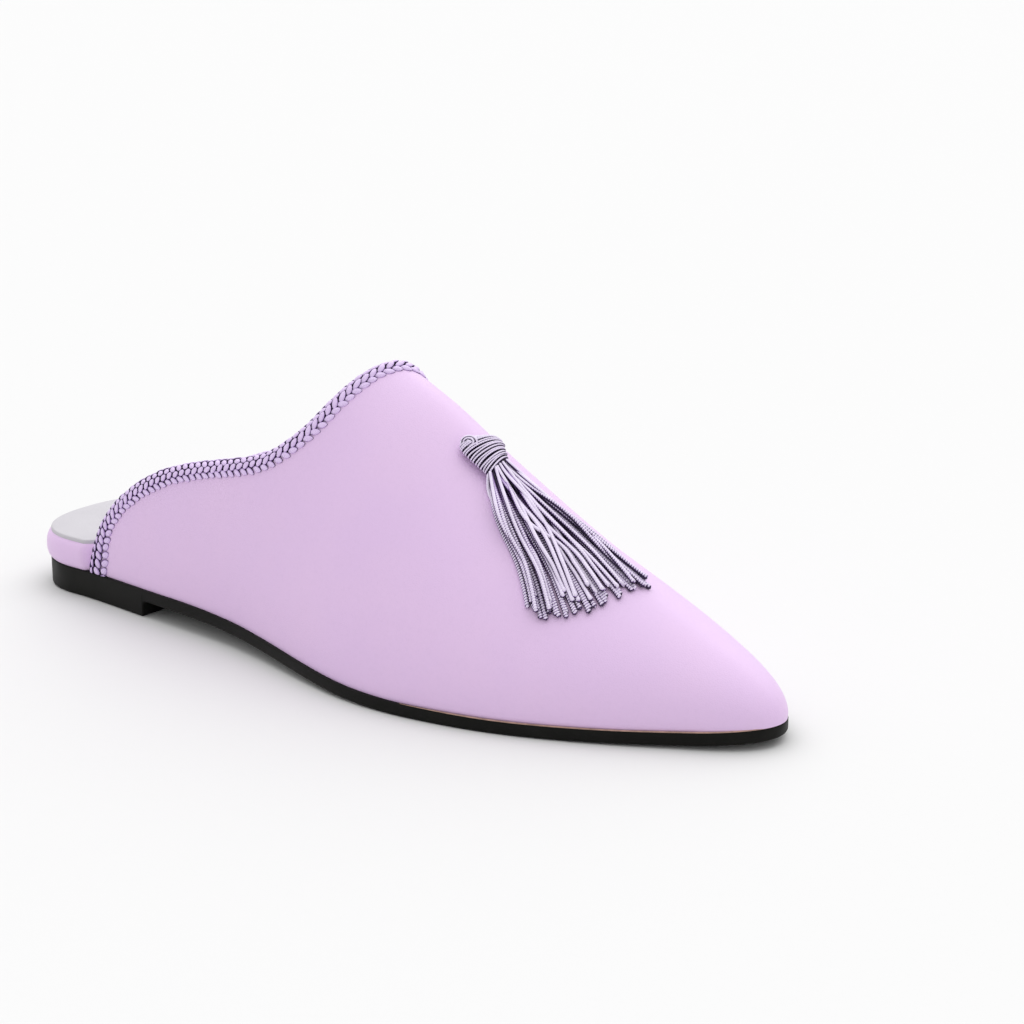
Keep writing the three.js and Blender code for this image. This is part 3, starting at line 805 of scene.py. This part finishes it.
def upper_skin(offset):
    """Points on a skin of the upper, at an offset from the outside of the last."""
    turn = upper_turns(UPPER_ROWS)[:, None]
    start = collar_place(turn)
    share = np.linspace(0, 1, UPPER_COLUMNS)[None, :]
    body = start + (NOSE_START - start) * np.minimum(share / BODY_SHARE, 1)
    left = np.clip((1 - share) / (1 - BODY_SHARE), 0, 1)
    x = body + NOSE_LENGTH * (1 - left**2)
    turn = np.broadcast_to(turn, x.shape)
    points = last_point(x, turn)
    height = points[..., 2] - sole_top(x) - GAP
    normal = last_normal(np.minimum(x, SOLE_LENGTH - 0.02), turn)
    points = points + normal * offset
    foot = np.exp(-height / FOOT_TURN_HEIGHT)
    side = np.where(turn < 0.5, -1.0, 1.0)
    points[..., 1] -= side * FOOT_TURN_IN * foot * nose_share(x)
    points[[0, -1], :, 2] = sole_top(x[[0, -1]]) + UPPER_SEAT
    points[:, -1] = SOLE_LENGTH + offset, TOE_POINT_Y, float(sole_top(SOLE_LENGTH)) + UPPER_SEAT
    return points


class SLIPPER_OT_upper(bpy.types.Operator):
    """Models the leather upper as a lined shell over the last, open at the collar and underneath"""

    bl_idname = "slipper.upper"
    bl_label = "Upper"

    def execute(self, context):
        outside = lofted_grid("upper_leather", upper_skin(0.0))
        inside = lofted_grid("upper_lining", upper_skin(-UPPER_WALL))
        for skin in (outside, inside):
            edit(skin, merge())
        faces = len(outside.data.polygons), len(inside.data.polygons)
        upper = join([outside, inside], "upper_leather")
        edit(upper, on_open_edges(bpy.ops.mesh.bridge_edge_loops), face_outwards)
        smooth(upper, 50)
        dress(upper, ["lilac_satin_leather", "pale_sock_leather"], "satin_leather", "upper")
        finish = np.zeros(len(upper.data.polygons), np.int32)
        finish[faces[0]:sum(faces)] = 1
        upper.data.polygons.foreach_set("material_index", finish)
        return {"FINISHED"}


class SLIPPER_OT_cement(bpy.types.Operator):
    """Lays the fine line of cement between the upper and the outsole, from the ball to the toe"""

    bl_idname = "slipper.cement"
    bl_label = "Cement line"

    def execute(self, context):
        stations = sole_stations()
        ring = sole_ring(stations, lambda x: CEMENT_INSET + 0 * x, lambda x: sole_top(x) + 0.04)
        tip = len(stations) - 1
        reach = int(np.sum(stations > CEMENT_START))
        route = ring[tip - reach + 1:tip + reach]
        growth = smooth_step(route[:, 0], CEMENT_START, CEMENT_START + CEMENT_GROWTH_LENGTH)[:, None]
        radius = CEMENT_RADIUS[0] + (CEMENT_RADIUS[1] - CEMENT_RADIUS[0]) * growth
        aside = unit(np.cross(np.gradient(route, axis=0), [0, 0, 1]))
        up = np.array([0, 0, 1])
        points = np.array([route + radius * (aside * math.cos(a) + up * math.sin(a))
                           for a in np.linspace(0, 2 * math.pi, 9)])
        line = lofted_grid("cement_line", points)
        edit(line, merge(), on_open_edges(bpy.ops.mesh.fill), face_outwards)
        smooth(line)
        dress(line, ["tan_sole_cement"], "pale_lining")
        return {"FINISHED"}


# Footbed, sock and outsole


class SLIPPER_OT_footbed(bpy.types.Operator):
    """Models the padded footbed in its leather wrap, swelling past the sole behind the upper"""

    bl_idname = "slipper.footbed"
    bl_label = "Footbed"

    def execute(self, context):
        def level(share, extra):
            return (lambda x: footbed_inset(x) + extra,
                    lambda x: sole_top(x) + 0.02 + share * (footbed_thickness(x) + GAP))

        levels = [level(row["share"], row["inset"]) for row in rows_of(FOOTBED_EDGE)]
        wrap = layered_piece("footbed_wrap", footbed_stations(), levels)
        smooth(wrap, 60)
        dress(wrap, ["lilac_satin_leather"], "satin_leather", "footbed")
        return {"FINISHED"}


class SLIPPER_OT_sock(bpy.types.Operator):
    """Models the thin sock glued on the footbed, with its rolled edge"""

    bl_idname = "slipper.sock"
    bl_label = "Sock"

    def execute(self, context):
        def level(extra, rise):
            return (lambda x: footbed_inset(x) + SOCK_INSET + extra, lambda x: footbed_top(x) + rise)

        levels = [level(0, 0.0), level(0, 0.75), level(0.1, 1.0), level(0.32, 1.16), level(0.7, 1.2)]
        sock = layered_piece("sock_lining", footbed_stations(), levels)
        smooth(sock, 60)
        dress(sock, ["pale_sock_leather"], "pale_lining", "insole_sock")
        return {"FINISHED"}


class SLIPPER_OT_outsole(bpy.types.Operator):
    """Models the moulded rubber outsole with its low heel and rounded edges"""

    bl_idname = "slipper.outsole"
    bl_label = "Outsole"

    def execute(self, context):
        def above_bottom(angle):
            inset = EDGE_RADIUS * (1 - math.sin(angle))
            return (lambda x: inset + 0 * x,
                    lambda x: outsole_bottom(x) + EDGE_RADIUS * (1 - math.cos(angle)))

        def below_top(inset, drop):
            return (lambda x: inset + 0 * x, lambda x: sole_top(x) - drop)

        levels = [above_bottom(angle) for angle in np.radians([0, 18, 36, 54, 72, 90])]
        levels += [below_top(0, 0.55), below_top(0.06, 0.25), below_top(0.22, 0.06), below_top(0.5, 0)]
        breast = HEEL_BREAST + np.array([-0.8, -0.55, -0.3, -0.12, 0, 0.26, 0.4, 0.65, 1.0, 1.4, 1.86])
        sole = layered_piece("outsole_rubber", sole_stations(breast), levels)
        smooth(sole, 40)
        dress(sole, ["black_moulded_rubber"], "sole_rubber", "outsole")
        return {"FINISHED"}


# Collar braid

# Rows of plaits across the braid: place towards the vamp, height over its middle, turn of the
# row round the braid from outwards, slant, and shift in half pitches
PLAIT_ROWS = named_columns(
    "aside up angle slant shift",
    (1.85, 1.0, -22, 27, 0),
    (0.25, 1.45, 0, -24, 1),
    (-1.35, 1.05, 26, 25, 0),
    (-2.1, -0.1, 95, -20, 1),
    (-1.1, -1.3, 160, 24, 0),
    (0.75, -1.45, 184, -24, 1),
)
PLAIT_HEIGHT = 1.3
PLAIT_TILT = 0.22
# How much wider the braid lies near the sole than along the rest of the collar, how far up
# the collar that reaches, and how far the wide braid slides towards the vamp
BRAID_SPREAD = 0.75
BRAID_SPREAD_LENGTH = 24.0
BRAID_SLIDE = 1.7
# Near the sole the plaits' painted light is pulled towards one middle tone
EVENED_SHARE = 0.45
EVENED_PAINTED_LIGHT = 0.56
CORE_HALF_HEIGHT = 1.15
CORE_HALF_WIDTH = 1.7


def even_turns(step):
    """Turns at even steps in millimetres along the collar's edge."""
    fine = np.linspace(0, 1, 3001)
    length = lengths_along(collar_frame(fine)[0])
    count = int(round(length[-1] / step))
    return np.interp(np.linspace(0, length[-1], count + 1), length, fine)


def plait_leaf():
    """One plait, and its points in half lengths: a spindle with its tips on x."""
    bpy.ops.mesh.primitive_uv_sphere_add(segments=8, ring_count=7, radius=1)
    leaf = bpy.context.object
    leaf.name = "plait_leaf"
    co = np.zeros(len(leaf.data.vertices) * 3)
    leaf.data.vertices.foreach_get("co", co)
    co = co.reshape(-1, 3)
    along = co[:, 2]
    slim = np.clip(1 - along**2, 0, 1) ** 0.22
    return leaf, np.stack([along, co[:, 1] * slim, co[:, 0] * slim], 1)


def lay_plait(leaf, shape, course, k, row, random):
    """Copies the leaf to step k along the collar, in one row of the braid."""
    centre, along, outward, aside, spread, evened = (values[k] for values in course)
    angle = math.radians(row["angle"])
    up = outward * math.cos(angle) - aside * math.sin(angle)
    across = outward * math.sin(angle) + aside * math.cos(angle)
    drop = row["aside"] * spread + (spread - 1) * BRAID_SLIDE + random.uniform(-0.12, 0.12)
    middle = centre + outward * row["up"] + aside * drop
    slant = math.radians(row["slant"]) + random.uniform(-0.2, 0.2)
    forward = unit(along * math.cos(slant) + across * math.sin(slant) + up * PLAIT_TILT)
    sideways = unit(np.cross(up, forward))
    above = np.cross(forward, sideways)
    half_length = sizes().plait_length * 500 * (1 + random.uniform(-0.1, 0.1))
    half_width = sizes().plait_width * 500 * math.sqrt(spread)
    points = (middle
              + shape[:, :1] * forward * half_length
              + shape[:, 1:2] * sideways * half_width
              + shape[:, 2:3] * above * (PLAIT_HEIGHT / 2))
    points[:, 2] = np.maximum(points[:, 2], sole_top(points[:, 0]) + 0.1)
    plait = bpy.data.objects.new("plait", leaf.data.copy())
    bpy.context.collection.objects.link(plait)
    plait.data.vertices.foreach_set("co", place(points).ravel())
    # Painted light: the plait's back is painted light, its underside and tucked end painted dark as shade,
    # with a random shift per plait.
    tucked_painted_shade = np.clip(-shape[:, 0] - 0.35, 0, 1)
    painted_light = 0.15 + 1.4 * np.clip(shape[:, 2], 0, 1) ** 0.5 - 0.7 * tucked_painted_shade
    painted_light = np.clip(painted_light + random.uniform(-0.14, 0.06), 0, 1)
    point_attribute(plait, "painted_light", painted_light + (EVENED_PAINTED_LIGHT - painted_light) * evened)
    return plait


class SLIPPER_OT_braid(bpy.types.Operator):
    """Models the plaited cord over the collar's edge: rows of plaits over a core painted dark as the shade
    between them
    """

    bl_idname = "slipper.braid"
    bl_label = "Collar braid"

    def execute(self, context):
        step = sizes().plait_pitch * 1000 / 2
        turns = even_turns(step)
        places = np.arange(len(turns))
        from_end = np.minimum(places, places[::-1]) * step
        spread = 1 + BRAID_SPREAD * (1 - smooth_step(from_end, 0, BRAID_SPREAD_LENGTH))
        evened = EVENED_SHARE * (1 - smooth_step(from_end, 8, 40))
        course = (*collar_frame(turns), spread, evened)
        random = np.random.RandomState(11)
        leaf, shape = plait_leaf()
        plaits = [lay_plait(leaf, shape, course, k, row, random)
                  for row in rows_of(PLAIT_ROWS)
                  for k in range(int(row["shift"]), len(turns), 2)]
        bpy.data.objects.remove(leaf)
        centre, _, outward, aside = collar_frame(even_turns(1.2))
        rings = [centre + outward * CORE_HALF_HEIGHT * math.cos(angle)
                 + aside * (0.1 + CORE_HALF_WIDTH * math.sin(angle))
                 for angle in np.linspace(0, 2 * math.pi, 13)]
        core = lofted_grid("braid_core", np.array(rings))
        # The core's low painted light paints it dark, as the shade between the plaits.
        point_attribute(core, "painted_light", np.full(len(core.data.vertices), 0.12))
        edit(core, merge(), on_open_edges(bpy.ops.mesh.fill))
        braid = join([core] + plaits, "collar_braid_plait")
        edit(braid, face_outwards)
        smooth(braid)
        dress(braid, ["plaited_yarn"], "mauve_braid", "collar_braid")
        return {"FINISHED"}


# Tassel

NECK = np.array([175.2, -4.9])
NECK_WIDTH = 6.6
# The fan's outer edge lies at this angle from straight forward, and the fan opens this far
FAN_EDGE = -40
FAN_SWEEP = 46
# Reach of the fringe's cords at its outer edge, and how much further they reach at its inner edge
FRINGE_REACH = 36.4
FRINGE_REACH_GAIN = 11.8

# Layers of the fringe: cords, height over the vamp, extra height at the neck, painted light at the
# neck, painted light along the cord, and how far it wanders
FRINGE = named_columns(
    "cords height neck neck_light light wander",
    (30, 0.66, 0.6, 0.2, 0.6, 0.6),
    (13, 1.35, 1.0, 0.3, 0.82, 2.0),
    (12, 2.0, 1.6, 1.0, 1.05, 3.2),
)

# Two short cords that hang loose at the neck's outer edge
LOOSE_CORDS = named_columns(
    "start end reach",
    (-0.07, -0.1, 11.8),
    (0.06, 0.0, 9.6),
)

HEAD = named_columns(
    "along x y half rise",
    (0, 163.9, -2.3, 4.3, 2.2),
    (0.25, 165.6, -2.6, 6.0, 3.7),
    (0.5, 168.4, -3.2, 5.8, 4.3),
    (0.75, 171.6, -4.1, 4.8, 4.1),
    (1, 174.5, -4.8, 4.1, 3.8),
)
HEAD_LENGTH = 10.9
# Radius of the binding cord as a share of its pitch
BINDING_FULLNESS = 0.44
# Loops at the head's outer back corner: radius, and height over the corner
HEAD_LOOPS = ((2.15, 0.3), (1.3, 0.6), (0.4, 0.6))


def vamp_frame(x, y, rise):
    """Points above the vamp at plan places, and the outward direction there."""
    turn = vamp_turn(x, y)
    normal = last_normal(x, turn)
    return last_point(x, turn) + normal * np.asarray(rise)[..., None], normal


def round_cord(path, normal, radius, sides=10):
    """Rows of points round a path, and how far up each faces, from -1 to 1."""
    along = unit(np.gradient(path, axis=0))
    up = unit(normal - along * np.sum(normal * along, 1, keepdims=True))
    side = np.cross(along, up)
    angle = np.linspace(0, 2 * math.pi, sides + 1)[:, None]
    points = (path[None] + side[None] * (radius * np.cos(angle))[..., None]
              + up[None] * (radius * np.sin(angle))[..., None])
    return points, np.sin(angle) + np.zeros(len(path))


class CordPile:
    """Collects tubes of points and makes one mesh of them."""

    def __init__(self):
        self.vertices = []
        self.faces = []
        self.painted_light = []
        self.ribs = []
        self.uv = []
        self.count = 0

    def add(self, points, painted_light, ribs, length):
        """points[side, step], with the last side on the first; both ends are drawn in and closed."""
        ribs = np.pad(np.broadcast_to(ribs, points.shape[1]), 1, "edge")
        length = np.pad(length, 1, "edge")
        painted_light = np.pad(painted_light, ((0, 0), (1, 1)), "edge")
        middle = points[:-1].mean(0, keepdims=True) + np.zeros(points.shape)
        points = np.concatenate([middle[:, :1], points, middle[:, -1:]], 1)
        sides = points.shape[0] - 1
        steps = points.shape[1]
        index = self.count + np.arange(sides * steps).reshape(sides, steps)
        self.vertices.append(points[:sides].reshape(-1, 3))
        self.painted_light.append(np.clip(painted_light[:sides], 0, 1).ravel())
        self.ribs.append(np.broadcast_to(ribs, (sides, steps)).ravel())
        for i in range(sides):
            a, b = index[i], index[(i + 1) % sides]
            self.faces.append(np.stack([a[:-1], b[:-1], b[1:], a[1:]], 1))
            u = np.full(steps - 1, i / sides)
            w = np.full(steps - 1, (i + 1) / sides)
            self.uv.append(np.stack([u, length[:-1], w, length[:-1], w, length[1:], u, length[1:]], 1))
        self.count += sides * steps

    def wind(self, path, outward, radius, ribs, light=1.35, dark=0.1, stretch=1.3):
        """Adds one turn of thin cord, with its ribs drawn closer by the stretch."""
        points, top = round_cord(path, outward, np.full(len(path), radius), 8)
        # Painted light: bright on the turn's outer back, painted shade on its flanks.
        self.add(points, light * top - dark, ribs, lengths_along(path) * stretch)

    def build(self, name, replaced):
        vertices = place(np.concatenate(self.vertices)).tolist()
        mesh = bpy.data.meshes.new(name)
        mesh.from_pydata(vertices, [], np.concatenate(self.faces).tolist())
        layer = mesh.uv_layers.new(name="UVMap")
        layer.data.foreach_set("uv", np.concatenate(self.uv).ravel().astype(np.float32))
        piece = bpy.data.objects.new(name, mesh)
        bpy.context.collection.objects.link(piece)
        point_attribute(piece, "painted_light", np.concatenate(self.painted_light))
        point_attribute(piece, "ribs", np.concatenate(self.ribs))
        edit(piece, merge(1e-7), face_outwards)
        smooth(piece)
        dress(piece, ["tassel_yarn"], "mauve_cord", replaced)


def rounded_radius(length, radius, knob):
    """Radius along a cord: round at both ends, with a small knob at the free one."""
    left = length[-1] - length
    start = np.sqrt(np.clip(1 - (1 - np.clip(length / 0.5, 0, 1)) ** 2, 0, 1))
    end = np.sqrt(np.clip(1 - (1 - np.clip(left / 0.75, 0, 1)) ** 2, 0, 1))
    return radius * start * end * (1 + knob * np.exp(-((left - 0.8) / 0.7) ** 2))


def fringe_cord(pile, start_share, end_share, reach, thick, rise, sway, ribs, light):
    """Adds one cord of the fringe: shares 0 to 1 run from its outer to its inner edge."""
    t = np.linspace(0, 1, max(int(reach / 0.45), 12))
    angle = math.radians(FAN_EDGE + FAN_SWEEP * end_share)
    start_y = NECK[1] + (start_share - 0.5) * NECK_WIDTH
    end_y = NECK[1] + reach * math.sin(angle)
    bow = (1.3 if end_share > 0.5 else 0.7) * np.sin(math.pi * t) * (2 * end_share - 1)
    centred = 4 * end_share * (1 - end_share)
    easing = t + 0.05 * np.sin(2 * math.pi * t) * (1 - end_share) - 0.09 * np.sin(math.pi * t) * centred
    x = NECK[0] - 1.5 + t * (reach * math.cos(angle) + 1.5)
    y = start_y + (end_y - start_y) * easing + bow + sway(t)
    gathered = np.clip(1 - t / 0.35, 0, 1) ** 2
    path, normal = vamp_frame(x, y, rise(t, gathered))
    length = lengths_along(path)
    width = 1 - 0.25 * np.clip(1 - length / 12, 0, 1)
    points, top = round_cord(path, normal, rounded_radius(length, thick * width, 0.22))
    # Painted light: bright where the cord faces up and on the outer flank of the fringe's edge cords, its
    # other flanks painted dark as shade between cords.
    at_edge = float(smooth_step(abs(2 * end_share - 1), 0.88, 1.0))
    beside = np.cos(np.linspace(0, 2 * math.pi, len(top)))[:, None] * (1 if end_share < 0.5 else -1)
    facing = np.clip(1.6 * np.maximum(top, at_edge * beside) - 0.32, 0, 1)
    pile.add(points, facing * np.maximum(light(t), 0.85 * at_edge), ribs(t), length)


def lay_cord(pile, layer, row, k, random):
    """Lays cord k of one layer of the fringe, with its own reach, sway, waves and ribs."""
    share = (k + 0.5) / row["cords"]
    first, last = np.clip(share + random.normal(0, 0.018 * row["wander"], 2), 0.0, 1.0)
    notch = 1.6 * math.exp(-((last - 0.42) / 0.13) ** 2) * (1 if layer else -0.4)
    reach = FRINGE_REACH + FRINGE_REACH_GAIN * last**0.8 + random.uniform(-2.6, 0.9) - 0.7 * layer - notch
    swing = random.uniform(0.35, 1.0) * row["wander"] * (1 - 0.6 * abs(2 * last - 1))
    beat, phase = random.uniform(0.45, 1.0), random.uniform(0, 2 * math.pi)
    lump, seat = random.uniform(0.8, 1.7), random.uniform(0, 2 * math.pi)
    ribbed = 0.2 + 0.8 * min(1, abs(2 * last - 1) ** 1.5 + (layer == 0) + random.uniform(0, 0.3))
    # Sunk cords lie lower at the neck and are painted darker there, as shade.
    sunk = 0.9 * (k % 2) * (layer == 2)
    inner = float(smooth_step(last, 0.6, 0.85))
    near = row["neck_light"] - 0.6 * sunk
    near += (0.95 - near) * inner * (0.6 + 0.2 * layer)
    far = row["light"] + (1.05 - row["light"]) * inner * 0.8

    def rise(t, gathered):
        wave = 0.22 * layer * (1 + np.sin(2 * math.pi * lump * t + seat)) * smooth_step(t, 0, 0.3)
        settle = 0.3 * layer * smooth_step(t, 0.75, 1)
        return row["height"] + (row["neck"] - sunk) * gathered + wave - settle

    def sway(t):
        envelope = np.sin(math.pi * np.minimum(t, 0.82)) ** 1.5
        return swing * np.sin(2 * math.pi * beat * t + phase) * envelope

    def ribs(t):
        return ribbed * smooth_step(t, 0.08, 0.4)

    # Painted light along the cord: shaded near the neck on lower layers, lighter towards the fringe's
    # inner edge and at the tips.
    def light(t):
        tips = (0.3 - 0.1 * layer) * smooth_step(t, 0.6, 0.9)
        return near + (far - near) * smooth_step(t, 0.05, 0.45) + tips

    fringe_cord(pile, first, last, reach, sizes().cord_diameter * 500, rise, sway, ribs, light)


class SLIPPER_OT_tassel_cords(bpy.types.Operator):
    """Models the tassel's fringe of wound cords, fanned in layers over the vamp"""

    bl_idname = "slipper.tassel_cords"
    bl_label = "Tassel cords"

    def execute(self, context):
        random = np.random.RandomState(5)
        rows = rows_of(FRINGE)
        under, over = CordPile(), CordPile()
        for layer, pile in enumerate((under, over, over)):
            for k in range(int(rows[layer]["cords"])):
                lay_cord(pile, layer, rows[layer], k, random)
        for cord in rows_of(LOOSE_CORDS):
            fringe_cord(over, cord["start"], cord["end"], cord["reach"], 0.6,
                        rise=lambda t, gathered: 0.8 + 2.4 * gathered,
                        sway=lambda t: -0.6 * np.sin(math.pi * t),
                        ribs=lambda t: 0.1 + 0 * t,
                        light=lambda t: 1 + 0 * t)
        under.build("tassel_cords_under", "tassel_fringe")
        over.build("tassel_cords_over", "tassel_fringe")
        return {"FINISHED"}


head_curves = [spline(HEAD, "along", name) for name in ("x", "y", "half", "rise")]


def head_ring(along, angle, shrink, lean=0.0):
    """Path over the tassel's head at one place along it, shrunk by some millimetres."""
    x, y, half, rise = (float(curve(along)) for curve in head_curves)
    slant = 0.4 - 0.5 * along
    across = (half - shrink) * np.cos(angle)
    up = 0.45 + np.maximum((rise - shrink) / 2 * (1 + np.sin(angle)), 0.3)
    return vamp_frame(x + slant * across + lean, y + across, up)[0]


class SLIPPER_OT_tassel_head(bpy.types.Operator):
    """Models the tassel's head: a core wound round with cord, with small loops at its back corner"""

    bl_idname = "slipper.tassel_head"
    bl_label = "Tassel head"

    def execute(self, context):
        random = np.random.RandomState(3)
        pile = CordPile()
        pitch = sizes().binding_pitch * 1000
        thick = pitch * BINDING_FULLNESS
        angle = np.linspace(-0.35 * math.pi, 1.35 * math.pi, 72)
        count = int(HEAD_LENGTH / pitch)
        for k in range(count):
            along = 0.1 + 0.84 * (k + 0.5) / count
            shrink = thick * 0.8 + 1.3 * max(0, 0.16 - along) / 0.16 + random.uniform(-0.12, 0.12)
            path = head_ring(along, angle, shrink, random.uniform(-0.18, 0.18))
            path[:, 0] += random.uniform(-0.34, 0.34) * np.sin(angle * 2 + random.uniform(0, 6))
            pile.wind(path, unit(path - path.mean(0)), thick * random.uniform(0.95, 1.05), 0.7)
        rim = head_ring(0.1, angle, thick * 0.8 + 0.5)
        middle = rim.mean(0)
        back = unit(middle - head_ring(0.4, angle, thick).mean(0))
        for bend in np.radians([11.25, 33.75, 56.25, 78.75]):
            path = middle + (rim - middle) * math.sin(bend) + back * 1.3 * math.cos(bend)
            spoke = path - middle - back * np.sum((path - middle) * back, 1, keepdims=True)
            outward = unit(unit(spoke) * math.sin(bend) + back * math.cos(bend))
            pile.wind(path, outward, thick * 1.15, 0.6)
        x, y = (float(curve(0.06)) for curve in head_curves[:2])
        corner, facing = vamp_frame(x + 0.2, y - 3.5, 3.0)
        facing = unit(facing + np.array([-0.15, -1.0, 0.0]))
        first = unit(np.cross(facing, [0, 0, 1]))
        second = np.cross(facing, first)
        angle = np.linspace(0, 1.98 * math.pi, 40)[:, None]
        for radius, out in HEAD_LOOPS:
            path = (corner + facing * out + first * 1.1 * radius * np.cos(angle)
                    + second * 0.85 * radius * np.sin(angle))
            outward = unit(facing * 0.9 + (path - corner) / radius * 0.4)
            pile.wind(path, outward, thick, 0.25, light=1.3, dark=0.15, stretch=1.0)
        angle = np.linspace(0, 2 * math.pi, 33)
        core = np.array([head_ring(along, angle, 0.9 + 0.8 * max(0, 0.1 - along) / 0.1)
                         for along in np.linspace(0.02, 1, 24)]).transpose(1, 0, 2)
        # The core gets no painted light, so it is painted dark as the shade between the windings.
        pile.add(core, np.zeros(core.shape[:2]), 0.0, np.arange(core.shape[1]) * 0.5)
        pile.build("tassel_head", "tassel_knot")
        return {"FINISHED"}


# Stage

CAMERA_PLACE = (0.5519, -0.51994, 0.23589)
CAMERA_TURN = (74, 0, 37.78758)
CAMERA_LENS = 85.94
SUN_TURN = (-26, -15, 0)
SUN_SOFTNESS = 90
SUN_STRENGTH = 1.85
SURROUND_STRENGTH = 0.69


class SLIPPER_OT_stage(bpy.types.Operator):
    """Lays the pale floor and sets the soft lights and the camera"""

    bl_idname = "slipper.stage"
    bl_label = "Stage"

    def execute(self, context):
        bpy.ops.mesh.primitive_plane_add(size=16, location=(0, 0, 0))
        floor = bpy.context.object
        floor.name = "studio_floor"
        floor.data.materials.append(bpy.data.materials["studio_paper"])
        context.scene.view_settings.view_transform = "Standard"
        world = bpy.data.worlds.new("studio_surround")
        world.use_nodes = True
        set_inputs(world.node_tree.nodes["Background"],
                   {"Color": (1.0, 1.0, 1.0, 1.0), "Strength": SURROUND_STRENGTH})
        context.scene.world = world
        bpy.ops.object.light_add(type="SUN", location=(0.4, -0.2, 1.2),
                                 rotation=tuple(np.radians(SUN_TURN)))
        sun = context.object
        sun.name = "soft_key"
        sun.data.energy = SUN_STRENGTH
        sun.data.angle = math.radians(SUN_SOFTNESS)
        bpy.ops.object.camera_add(location=CAMERA_PLACE, rotation=tuple(np.radians(CAMERA_TURN)))
        camera = context.object
        camera.name = "studio_camera"
        camera.data.sensor_width = 36
        camera.data.lens = CAMERA_LENS
        camera.data.clip_start = 0.01
        context.scene.camera = camera
        deselect()
        return {"FINISHED"}


class SLIPPER_PT_panel(bpy.types.Panel):
    """Lists the slipper's pieces in the order in which they are made"""

    bl_label = "Slipper"
    bl_idname = "SLIPPER_PT_panel"
    bl_space_type = "VIEW_3D"
    bl_region_type = "UI"
    bl_category = "Slipper"

    def draw(self, context):
        layout = self.layout
        for operator in OPERATORS:
            layout.operator(operator.bl_idname)
        for group in (context.scene.slipper_sizes, context.scene.slipper_finishes):
            box = layout.box()
            for name in group.__annotations__:
                box.prop(group, name)


OPERATORS = (
    SLIPPER_OT_outsole,
    SLIPPER_OT_footbed,
    SLIPPER_OT_sock,
    SLIPPER_OT_upper,
    SLIPPER_OT_cement,
    SLIPPER_OT_braid,
    SLIPPER_OT_tassel_head,
    SLIPPER_OT_tassel_cords,
    SLIPPER_OT_stage,
)
CLASSES = (SlipperFinishes, SlipperSizes, *OPERATORS, SLIPPER_PT_panel)


def register():
    for kind in CLASSES:
        bpy.utils.register_class(kind)
    bpy.types.Scene.slipper_finishes = bpy.props.PointerProperty(type=SlipperFinishes)
    bpy.types.Scene.slipper_sizes = bpy.props.PointerProperty(type=SlipperSizes)


def unregister():
    del bpy.types.Scene.slipper_sizes
    del bpy.types.Scene.slipper_finishes
    for kind in reversed(CLASSES):
        bpy.utils.unregister_class(kind)


def mix_finishes():
    mixers = (satin_leather, pale_lining, sole_rubber, cement_line_finish, plaited_yarn, tassel_yarn,
              studio_paper)
    for mix in mixers:
        mix(bpy.context.scene.slipper_finishes)


def main():
    register()
    mix_finishes()
    bpy.ops.slipper.outsole()
    bpy.ops.slipper.footbed()
    bpy.ops.slipper.sock()
    bpy.ops.slipper.upper()
    bpy.ops.slipper.cement()
    bpy.ops.slipper.braid()
    bpy.ops.slipper.tassel_head()
    bpy.ops.slipper.tassel_cords()
    bpy.ops.slipper.stage()


if __name__ == "__main__":
    main()
